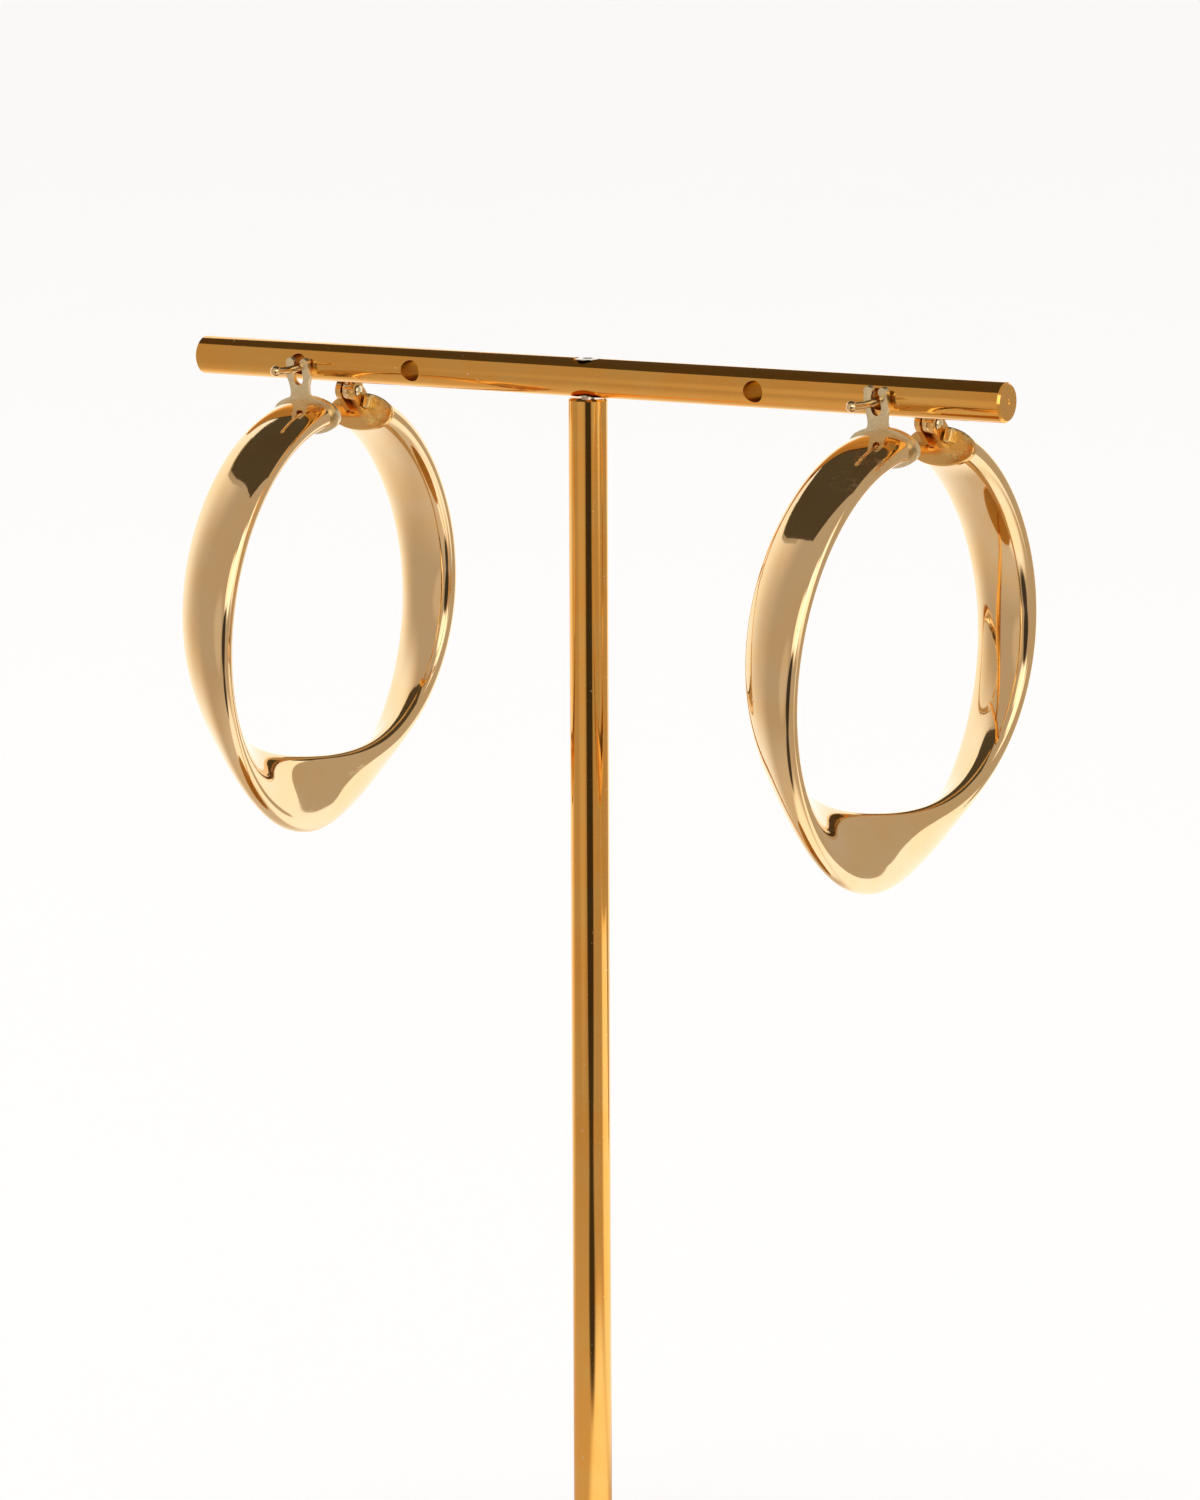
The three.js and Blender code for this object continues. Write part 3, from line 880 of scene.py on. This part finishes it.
def raised(tree, height, depth, normal=None):
    """A bump of a depth in metres."""
    sockets = {"Height": height, "Strength": 1.0, "Distance": depth}
    if normal is not None:
        sockets["Normal"] = normal
    return add(tree, "ShaderNodeBump", sockets).outputs[0]


def near(tree, vector, middle, radius):
    """1 about a place, fading to 0 at a radius, in metres."""
    away = add(tree, "ShaderNodeVectorMath", {0: vector, 1: middle}, operation="DISTANCE").outputs["Value"]
    return ramp(tree, away, radius, 0.4 * radius)


def polished_metal(
    name, colour, roughness=0.05, waves=6e-6, scratches=0.5, specks=0.12, dulled=0.12, stains=()
):
    """Bright hand-polished metal with hairlines, a few pits and a slight change of tone."""
    material, tree, shader, vector = new_metal(name, roughness)
    wavy = use_group(tree, "waviness", vector)
    lines = use_group(tree, "scratches", vector, Density=scratches)["Mask"]
    pits = use_group(tree, "specks", vector, Share=specks)["Mask"]
    warm = tuple(value * factor for value, factor in zip(colour, (1.0, 0.96, 0.86)))
    tone = blended(tree, ramp(tree, wavy["Slow"], 0.35, 0.65), colour, warm)
    pale = tuple(min(1.0, value * 0.6 + 0.42) for value in colour)
    marked = calculate(tree, "MULTIPLY", calculate(tree, "MAXIMUM", pits, lines), 0.35)
    shade = blended(tree, marked, tone, pale)
    rough = ramp(tree, wavy["Fine"], 0.3, 0.7, roughness * 0.75, roughness * 1.25)
    marks = calculate(tree, "MULTIPLY", calculate(tree, "MAXIMUM", lines, pits), dulled)
    for middle, radius, stain_colour in stains:
        blotches = add(tree, "ShaderNodeTexNoise", {"Vector": vector, "Scale": 1300, "Detail": 3})
        spread = near(tree, vector, middle, radius)
        mottled = ramp(tree, blotches.outputs["Fac"], 0.42, 0.6)
        stain = calculate(tree, "MULTIPLY", spread, mottled)
        shade = blended(tree, calculate(tree, "MULTIPLY", stain, 0.75), shade, stain_colour)
        marks = calculate(tree, "ADD", marks, calculate(tree, "MULTIPLY", stain, 0.3))
    tree.links.new(shade, shader.inputs["Base Color"])
    tree.links.new(calculate(tree, "ADD", rough, marks), shader.inputs["Roughness"])
    smooth = raised(tree, wavy["Slow"], waves)
    cut = raised(tree, calculate(tree, "SUBTRACT", 1.0, lines), 4e-7, smooth)
    tree.links.new(raised(tree, calculate(tree, "SUBTRACT", 1.0, pits), 3e-6, cut), shader.inputs["Normal"])
    return material


def satin_metal(name, colour, roughness=0.32, grain=4e-6, edge=(1, 1, 1)):
    """Metal left from the mould and only lightly polished."""
    material, tree, shader, vector = new_metal(name, roughness)
    shader.inputs["Specular Tint"].default_value = (*edge, 1)
    wavy = use_group(tree, "waviness", vector)
    shade = tuple(value * 0.86 for value in colour)
    tone = blended(tree, ramp(tree, wavy["Fine"], 0.35, 0.65), shade, colour)
    tree.links.new(tone, shader.inputs["Base Color"])
    rough = ramp(tree, wavy["Slow"], 0.35, 0.65, roughness * 0.75, roughness * 1.3)
    tree.links.new(rough, shader.inputs["Roughness"])
    smooth = raised(tree, wavy["Slow"], 2e-5)
    tree.links.new(raised(tree, wavy["Fine"], grain, smooth), shader.inputs["Normal"])
    return material


def cast_gold(name, colour, patch, radius, roughness=0.16):
    """Smooth cast gold with one patch left as rough as it came from the mould, and a painted glint in that
    patch's colour.
    """
    material, tree, shader, vector = new_metal(name, roughness)
    wavy = use_group(tree, "waviness", vector)
    lumps = add(tree, "ShaderNodeTexNoise", {"Vector": vector, "Scale": 1500, "Detail": 2}).outputs["Fac"]
    rough_and_glinting_patch = near(tree, vector, patch, radius)
    # Painted glint: the rough patch's colour goes to a paler, brighter yellow than the rest of the cap
    bright = (1, 0.74, 0.32)
    tone = blended(tree, ramp(tree, wavy["Slow"], 0.35, 0.65), tuple(value * 0.9 for value in colour), colour)
    tree.links.new(blended(tree, rough_and_glinting_patch, tone, bright), shader.inputs["Base Color"])
    grain = ramp(tree, wavy["Fine"], 0.3, 0.7, roughness * 0.7, roughness * 1.4)
    rough = calculate(tree, "ADD", grain, calculate(tree, "MULTIPLY", rough_and_glinting_patch, 0.2))
    tree.links.new(rough, shader.inputs["Roughness"])
    smooth = raised(tree, wavy["Fine"], 2e-6)
    height = calculate(tree, "MULTIPLY", lumps, rough_and_glinting_patch)
    tree.links.new(raised(tree, height, 1.5e-4, smooth), shader.inputs["Normal"])
    return material


def drawn_brass(name, colour, along, roughness=0.07):
    """Bright drawn rod with faint lines along it, specks of dust and hairlines."""
    material, tree, shader, vector = new_metal(name, roughness)
    scale = tuple(60 if axis == along else 9000 for axis in "XYZ")
    stretched = add(tree, "ShaderNodeMapping", {"Vector": vector, "Scale": scale})
    grain = add(tree, "ShaderNodeTexNoise", {"Vector": stretched.outputs[0], "Scale": 1, "Detail": 2})
    lines = grain.outputs["Fac"]
    wavy = use_group(tree, "waviness", vector)
    hairs = use_group(tree, "scratches", vector, Density=0.35)["Mask"]
    dust = use_group(tree, "specks", vector, Scale=900.0, Share=0.1)["Mask"]
    warm = tuple(value * factor for value, factor in zip(colour, (1.03, 0.94, 0.8)))
    tone = blended(tree, ramp(tree, wavy["Slow"], 0.35, 0.65), colour, warm)
    pale = (0.95, 0.82, 0.6)
    marked = calculate(tree, "MULTIPLY", calculate(tree, "MAXIMUM", dust, hairs), 0.5)
    tree.links.new(blended(tree, marked, tone, pale), shader.inputs["Base Color"])
    rough = ramp(tree, lines, 0.3, 0.7, roughness * 0.7, roughness * 1.4)
    marks = calculate(tree, "MULTIPLY", calculate(tree, "MAXIMUM", dust, hairs), 0.2)
    tree.links.new(calculate(tree, "ADD", rough, marks), shader.inputs["Roughness"])
    drawn = raised(tree, lines, 3e-7)
    tree.links.new(raised(tree, wavy["Slow"], 2e-6, drawn), shader.inputs["Normal"])
    return material


def faced_brass(name, colour, middle, across, roughness=0.24):
    """A face cut square on the lathe, with fine rings about its middle."""
    material, tree, shader, vector = new_metal(name, roughness)
    centred = add(tree, "ShaderNodeVectorMath", {0: vector, 1: middle}, operation="SUBTRACT").outputs[0]
    kept = tuple(0 if axis == across else 1 for axis in "XYZ")
    flat = add(tree, "ShaderNodeVectorMath", {0: centred, 1: kept}, operation="MULTIPLY").outputs[0]
    radius = add(tree, "ShaderNodeVectorMath", {0: flat}, operation="LENGTH").outputs["Value"]
    rings = add(tree, "ShaderNodeTexNoise", {"W": radius, "Scale": 14000, "Detail": 2}, noise_dimensions="1D")
    wavy = use_group(tree, "waviness", vector)
    shade = tuple(value * 0.85 for value in colour)
    mottled = calculate(tree, "MULTIPLY", rings.outputs["Fac"], wavy["Fine"])
    tree.links.new(blended(tree, ramp(tree, mottled, 0.15, 0.4), shade, colour), shader.inputs["Base Color"])
    rough = ramp(tree, wavy["Fine"], 0.3, 0.7, roughness * 0.8, roughness * 1.25)
    tree.links.new(rough, shader.inputs["Roughness"])
    tree.links.new(raised(tree, rings.outputs["Fac"], 1.5e-6), shader.inputs["Normal"])
    return material


def heading(camera_azimuth, azimuth, elevation):
    """A direction from the stand, with its azimuth counted from the camera's side."""
    around = camera_azimuth + math.radians(azimuth)
    level = math.cos(math.radians(elevation))
    return (math.sin(around) * level, -math.cos(around) * level, math.sin(math.radians(elevation)))


def surroundings_group(camera_azimuth):
    """How bright the studio is in each direction from the stand."""
    group, entry, leave = shader_group("surroundings", [("Vector", "NodeSocketVector", None)], ["Glow"])
    away = add(group, "ShaderNodeVectorMath", {0: entry.outputs["Vector"]}, operation="NORMALIZE").outputs[0]
    glow = WALL_GLOW
    for patch in PATCHES:
        centre = heading(camera_azimuth, patch["azimuth"], patch["elevation"])
        facing = add(group, "ShaderNodeVectorMath", {0: away, 1: centre}, operation="DOT_PRODUCT")
        outer = math.cos(math.radians(patch["radius"] + patch["blur"]))
        inner = math.cos(math.radians(patch["radius"] - patch["blur"]))
        mask = ramp(group, facing.outputs["Value"], outer, inner)
        laid = add(group, "ShaderNodeMix", {"Factor": mask, "A": glow, "B": patch["glow"]}, data_type="FLOAT")
        laid.label = patch["name"]
        glow = laid.outputs[0]
    group.links.new(glow, leave.inputs["Glow"])
    return group


def lit_by(tree, kind, glow):
    """Light of a brightness, warm where it is dim and plain where it is bright."""
    colour = blended(tree, ramp(tree, glow, 0.55, 1.25), WARM_LIGHT, PLAIN_LIGHT)
    return add(tree, kind, {"Color": colour, "Strength": glow})


def floor_finish(glow, surroundings):
    """A pale, faintly mottled floor, which the metal mirrors as part of the surroundings."""
    material = bpy.data.materials.new("pale floor")
    material.use_nodes = True
    tree = material.node_tree
    shader = tree.nodes["Principled BSDF"]
    shader.inputs["Roughness"].default_value = 0.9
    shader.inputs["Specular IOR Level"].default_value = 0.1
    shader.inputs["Emission Color"].default_value = (0.85, 1, 1.17, 1)
    shader.inputs["Emission Strength"].default_value = glow
    vector = tree.nodes.new("ShaderNodeTexCoord").outputs["Object"]
    mottled = add(tree, "ShaderNodeTexNoise", {"Vector": vector, "Scale": 6, "Detail": 2}).outputs["Fac"]
    tone = blended(tree, mottled, (0.86, 0.855, 0.85), (0.87, 0.866, 0.86))
    tree.links.new(tone, shader.inputs["Base Color"])
    away = add(tree, "ShaderNodeVectorMath", {0: vector, 1: STUDIO_MIDDLE}, operation="SUBTRACT").outputs[0]
    around = tree.nodes.new("ShaderNodeGroup")
    around.node_tree = surroundings
    tree.links.new(away, around.inputs["Vector"])
    mirrored = lit_by(tree, "ShaderNodeEmission", around.outputs["Glow"])
    path = tree.nodes.new("ShaderNodeLightPath")
    mix = tree.nodes.new("ShaderNodeMixShader")
    tree.links.new(path.outputs["Is Glossy Ray"], mix.inputs[0])
    tree.links.new(shader.outputs[0], mix.inputs[1])
    tree.links.new(mirrored.outputs[0], mix.inputs[2])
    tree.links.new(mix.outputs[0], tree.nodes["Material Output"].inputs["Surface"])
    return material


def card_finish(name, colour, glow):
    """Dull card, faintly mottled."""
    material = bpy.data.materials.new(name)
    material.use_nodes = True
    tree = material.node_tree
    shader = tree.nodes["Principled BSDF"]
    shader.inputs["Roughness"].default_value = 0.8
    shader.inputs["Specular IOR Level"].default_value = 0
    shader.inputs["Emission Color"].default_value = (*colour, 1)
    shader.inputs["Emission Strength"].default_value = glow
    vector = tree.nodes.new("ShaderNodeTexCoord").outputs["Object"]
    mottled = add(tree, "ShaderNodeTexNoise", {"Vector": vector, "Scale": 9, "Detail": 2}).outputs["Fac"]
    dim = tuple(value * 0.02 for value in colour)
    tone = blended(tree, mottled, dim, tuple(value * 2 for value in dim))
    tree.links.new(tone, shader.inputs["Base Color"])
    return material


def card_sheet(card, azimuth):
    """A flat sheet that only reflections show."""
    bm = bmesh.new()
    bm.faces.new([bm.verts.new(corner) for corner in card["corners"]])
    sheet = loose_object(card["name"], moved(bm, Matrix.Scale(MM, 4) @ Matrix.Rotation(azimuth, 4, "Z")))
    sheet.data.materials.append(card_finish(f"card {card['name']}", card["colour"], card["glow"]))
    sheet.visible_camera = False
    sheet.visible_diffuse = False
    sheet.visible_shadow = False


def studio_world(surroundings):
    """Soft surroundings, which the camera itself sees as plain white."""
    world = bpy.data.worlds.new("studio")
    world.use_nodes = True
    bpy.context.scene.world = world
    tree = world.node_tree
    tree.nodes.clear()
    around = tree.nodes.new("ShaderNodeGroup")
    around.node_tree = surroundings
    tree.links.new(tree.nodes.new("ShaderNodeTexCoord").outputs["Generated"], around.inputs["Vector"])
    mirrored = lit_by(tree, "ShaderNodeBackground", around.outputs["Glow"])
    seen = add(tree, "ShaderNodeBackground", {"Color": (0.99, 0.985, 0.975, 1), "Strength": 1.0})
    path = tree.nodes.new("ShaderNodeLightPath")
    mix = tree.nodes.new("ShaderNodeMixShader")
    tree.links.new(path.outputs["Is Camera Ray"], mix.inputs[0])
    tree.links.new(mirrored.outputs[0], mix.inputs[1])
    tree.links.new(seen.outputs[0], mix.inputs[2])
    output = tree.nodes.new("ShaderNodeOutputWorld")
    tree.links.new(mix.outputs[0], output.inputs["Surface"])


class EARRINGS_OT_studio(bpy.types.Operator):
    """Set up the floor, the surroundings and the camera"""

    bl_idname = "earrings.studio"
    bl_label = "Studio"

    def execute(self, context):
        settings = context.scene.earrings_studio
        bm = bmesh.new()
        bmesh.ops.create_circle(bm, cap_ends=True, segments=64, radius=FLOOR_RADIUS)
        floor = loose_object("studio_floor", bm)
        surroundings = surroundings_group(settings.azimuth)
        floor.data.materials.append(floor_finish(settings.floor_glow, surroundings))
        studio_world(surroundings)
        for card in CARDS:
            card_sheet(card, settings.azimuth)
        lamp = bpy.data.lights.new("overhead softbox", "AREA")
        lamp.shape = "DISK"
        lamp.size = settings.softbox_size
        lamp.energy = settings.softbox_power
        softbox = bpy.data.objects.new("overhead softbox", lamp)
        softbox.location = SOFTBOX_PLACE
        softbox.rotation_euler = Vector(softbox.location).to_track_quat("Z", "Y").to_euler()
        softbox.visible_glossy = False
        context.scene.collection.objects.link(softbox)
        camera = bpy.data.objects.new("camera", bpy.data.cameras.new("camera"))
        camera.data.lens = settings.lens
        camera.data.clip_start = CAMERA_NEAR
        camera.data.clip_end = CAMERA_FAR
        camera.location = settings.place
        flat = math.cos(settings.elevation)
        ahead = Vector(
            (
                -math.sin(settings.azimuth) * flat,
                math.cos(settings.azimuth) * flat,
                -math.sin(settings.elevation),
            )
        )
        look = ahead.to_track_quat("-Z", "Y").to_matrix().to_4x4()
        lean = Matrix.Rotation(-settings.roll, 4, "Z")
        camera.matrix_world = Matrix.Translation(settings.place) @ look @ lean
        context.scene.collection.objects.link(camera)
        context.scene.camera = camera
        context.scene.view_settings.view_transform = "Standard"
        return {"FINISHED"}


class EARRINGS_OT_bands(bpy.types.Operator):
    """Make both twisted bands"""

    bl_idname = "earrings.bands"
    bl_label = "Bands"

    def execute(self, context):
        settings = context.scene.earrings_hoop
        for side, hang in EARRINGS.items():
            hoop = Hoop(settings)
            place = earring_place(side, hang["hoop_pitch"])
            stains = []
            for stain in STAINS:
                if stain["side"] == side:
                    middle = place @ hoop.place(stain["share"]) @ Vector((stain["across"], STAIN_LIFT, 0))
                    stains.append((middle, stain["radius"] * MM, stain["colour"]))
            finish = polished_metal(f"polished gold {side}", settings.gold, stains=stains)
            bm = moved(hoop.band(), place)
            finished(f"{side}_band", bm, f"{side}_earring", finish, [f"{side}_hoop"])
        return {"FINISHED"}


class EARRINGS_OT_catches(bpy.types.Operator):
    """Make both catch plates with their forks"""

    bl_idname = "earrings.catches"
    bl_label = "Catches"

    def execute(self, context):
        settings = context.scene.earrings_hoop
        finish = satin_metal("satin gold", settings.pale_gold)
        for side, hang in EARRINGS.items():
            bm = moved(catch_solid(Hoop(settings)), earring_place(side, hang["hoop_pitch"]))
            finished(f"{side}_catch", bm, f"{side}_earring", finish, [f"{side}_hoop"])
        return {"FINISHED"}


class EARRINGS_OT_hinges(bpy.types.Operator):
    """Make both hinge caps and their riveted pins"""

    bl_idname = "earrings.hinges"
    bl_label = "Hinges"

    def execute(self, context):
        settings = context.scene.earrings_hoop
        pin_finish = polished_metal("rivet gold", settings.pale_gold, 0.1)
        for side, hang in EARRINGS.items():
            place = earring_place(side, hang["hoop_pitch"])
            body = f"{side}_earring"
            hoop = Hoop(settings)
            # Place of each cap's rough patch and its painted glint
            spot = Vector((CAST_AND_GLINT_PATCH["across"], -CAP_THICKNESS / 2, CAST_AND_GLINT_PATCH["up"]))
            patch = place @ cap_frame(hoop) @ spot
            cap_finish = cast_gold(f"cast gold {side}", settings.warm_gold, patch, CAST_AND_GLINT_PATCH["radius"] * MM)
            cap = moved(cap_solid(hoop), place)
            finished(f"{side}_cap", cap, body, cap_finish, [f"{side}_hoop"])
            pin = moved(pin_solid(), place)
            finished(f"{side}_rivet", pin, body, pin_finish, [f"{side}_hinge_pin"])
        return {"FINISHED"}


class EARRINGS_OT_wires(bpy.types.Operator):
    """Make both ear wires"""

    bl_idname = "earrings.wires"
    bl_label = "Ear wires"

    def execute(self, context):
        settings = context.scene.earrings_hoop
        finish = polished_metal("wire gold", settings.gold, 0.06)
        for side, hang in EARRINGS.items():
            bm = moved(wire_solid(), earring_place(side, hang["wire_pitch"]))
            finished(f"{side}_wire", bm, "stand", finish, [f"{side}_ear_wire"])
        return {"FINISHED"}


class EARRINGS_OT_crossbar(bpy.types.Operator):
    """Make the crossbar with its holes, chamfers and dimples"""

    bl_idname = "earrings.crossbar"
    bl_label = "Crossbar"

    def execute(self, context):
        brass = context.scene.earrings_stand.brass
        half = BAR_LENGTH / 2
        stations = np.linspace(-half + BAR_CHAMFER, half - BAR_CHAMFER, BAR_STATIONS)
        profile = [(0, -half + DIMPLE_DEPTH), (DIMPLE_DIAMETER / 2, -half), (ROD_RADIUS - BAR_CHAMFER, -half)]
        profile += [(ROD_RADIUS, height) for height in stations]
        profile += [(ROD_RADIUS - BAR_CHAMFER, half), (DIMPLE_DIAMETER / 2, half), (0, half - DIMPLE_DEPTH)]
        bar = turned(profile, ROD_SIDES, "X")
        holes = [
            shifted(rod(HOLE_DIAMETER / 2, 4 * ROD_RADIUS, HOLE_SIDES, "Y"), offset, 0, -HOLE_DROP)
            for offset in HOLE_OFFSETS
        ]
        throat = SCREW_SHANK_DIAMETER / 2 + SEAT_GAP
        mouth = SCREW_HEAD_DIAMETER / 2 + SEAT_GAP / 2
        seat = [
            (0, -2 * ROD_RADIUS),
            (throat, -2 * ROD_RADIUS),
            (throat, ROD_RADIUS - SCREW_HEAD_DEPTH - SEAT_GAP),
            (mouth, ROD_RADIUS - SEAT_GAP),
            (mouth, 2 * ROD_RADIUS),
            (0, 2 * ROD_RADIUS),
        ]
        bar = combined(bar, [*holes, turned(seat, HOLE_SIDES)], "DIFFERENCE")
        shifted(bar, 0, 0, BAR_HEIGHT)
        piece = finished(
            "crossbar",
            moved(bar, stand_place()),
            "stand",
            drawn_brass("drawn brass", brass, "X"),
            ["stand_crossbar"],
            30,
        )
        end_finish = faced_brass("faced brass", brass, (0, 0, BAR_HEIGHT * MM), "X")
        piece.data.materials.append(end_finish)
        # Painted shade: the holes' walls take a darker brass than the rod, with darker edges
        shaded_hole = satin_metal("drilled brass", SHADED_HOLE_BRASS, edge=SHADED_HOLE_EDGE)
        piece.data.materials.append(shaded_hole)
        for face in piece.data.polygons:
            from_axis = math.hypot(face.center.y, face.center.z - BAR_HEIGHT * MM)
            from_middle = abs(face.center.x)
            if abs(face.normal.x) > END_SQUARENESS and from_middle > (half - END_REACH) * MM:
                face.material_index = 1
            elif from_axis < DRILLED_SHARE * ROD_RADIUS * MM and from_middle < (half - DRILLED_REACH) * MM:
                face.material_index = 2
        return {"FINISHED"}


class EARRINGS_OT_post(bpy.types.Operator):
    """Make the post and the foot"""

    bl_idname = "earrings.post"
    bl_label = "Post and foot"

    def execute(self, context):
        brass = context.scene.earrings_stand.brass
        post_top = bar_low.z - POST_GAP
        profile = [
            (0, post_low.z),
            (ROD_RADIUS, post_low.z),
            (ROD_RADIUS, post_top - POST_CHAMFER),
            (ROD_RADIUS - POST_CHAMFER, post_top),
            (0, post_top),
        ]
        post = moved(turned(profile, ROD_SIDES), stand_place())
        finish = drawn_brass("drawn brass upright", brass, "Z")
        finished("post", post, "stand", finish, ["stand_post"], 30)
        radius = foot_high.x
        top = foot_high.z
        profile = [
            (0, 0),
            (radius, 0),
            (radius, top - FOOT_CHAMFER),
            (radius - FOOT_CHAMFER, top),
            (0, top),
        ]
        foot = moved(turned(profile, FOOT_SIDES), stand_place())
        finish = faced_brass("faced foot", brass, (0, 0, 0), "Z", 0.55)
        finished("foot", foot, "stand", finish, ["stand_base"], 30)
        return {"FINISHED"}


class EARRINGS_OT_screw(bpy.types.Operator):
    """Make the countersunk screw"""

    bl_idname = "earrings.screw"
    bl_label = "Screw"

    def execute(self, context):
        top = ROD_RADIUS
        bottom = screw_low.z - BAR_HEIGHT
        shank = SCREW_SHANK_DIAMETER / 2
        head = SCREW_HEAD_DIAMETER / 2
        profile = [
            (0, bottom),
            (shank, bottom),
            (shank, top - SCREW_HEAD_DEPTH),
            (head, top - SEAT_GAP / 2),
            (head, top - SEAT_GAP / 4),
            (0, top),
        ]
        socket = shifted(rod(SCREW_SOCKET_WIDTH / 2, 2 * SCREW_SOCKET_DEPTH, SOCKET_SIDES, "Z"), 0, 0, top)
        screw = combined(turned(profile, SCREW_SIDES), [socket], "DIFFERENCE")
        shifted(screw, 0, 0, BAR_HEIGHT)
        finish = polished_metal("bright steel", context.scene.earrings_stand.steel, 0.15)
        finished("screw", moved(screw, stand_place()), "stand", finish, ["stand_screw"], 30)
        return {"FINISHED"}


class EARRINGS_PT_panel(bpy.types.Panel):
    """Lists the pieces"""

    bl_label = "Twisted hoops"
    bl_idname = "EARRINGS_PT_panel"
    bl_space_type = "VIEW_3D"
    bl_region_type = "UI"
    bl_category = "Earrings"

    def draw(self, context):
        for operator in OPERATORS:
            self.layout.operator(operator.bl_idname)
        for group in ("earrings_hoop", "earrings_stand", "earrings_studio"):
            settings = getattr(context.scene, group)
            box = self.layout.box()
            for name in settings.__annotations__:
                box.prop(settings, name)


OPERATORS = (
    EARRINGS_OT_studio,
    EARRINGS_OT_bands,
    EARRINGS_OT_catches,
    EARRINGS_OT_hinges,
    EARRINGS_OT_wires,
    EARRINGS_OT_crossbar,
    EARRINGS_OT_post,
    EARRINGS_OT_screw,
)
CLASSES = (HoopSettings, StandSettings, StudioSettings, *OPERATORS, EARRINGS_PT_panel)


def register():
    for entry in CLASSES:
        bpy.utils.register_class(entry)
    bpy.types.Scene.earrings_hoop = PointerProperty(type=HoopSettings)
    bpy.types.Scene.earrings_stand = PointerProperty(type=StandSettings)
    bpy.types.Scene.earrings_studio = PointerProperty(type=StudioSettings)


def unregister():
    for group in ("earrings_hoop", "earrings_stand", "earrings_studio"):
        delattr(bpy.types.Scene, group)
    for entry in reversed(CLASSES):
        bpy.utils.unregister_class(entry)


def main():
    """Builds everything in order."""
    register()
    bpy.ops.earrings.studio()
    bpy.ops.earrings.bands()
    bpy.ops.earrings.catches()
    bpy.ops.earrings.hinges()
    bpy.ops.earrings.wires()
    bpy.ops.earrings.crossbar()
    bpy.ops.earrings.post()
    bpy.ops.earrings.screw()


if __name__ == "__main__":
    main()
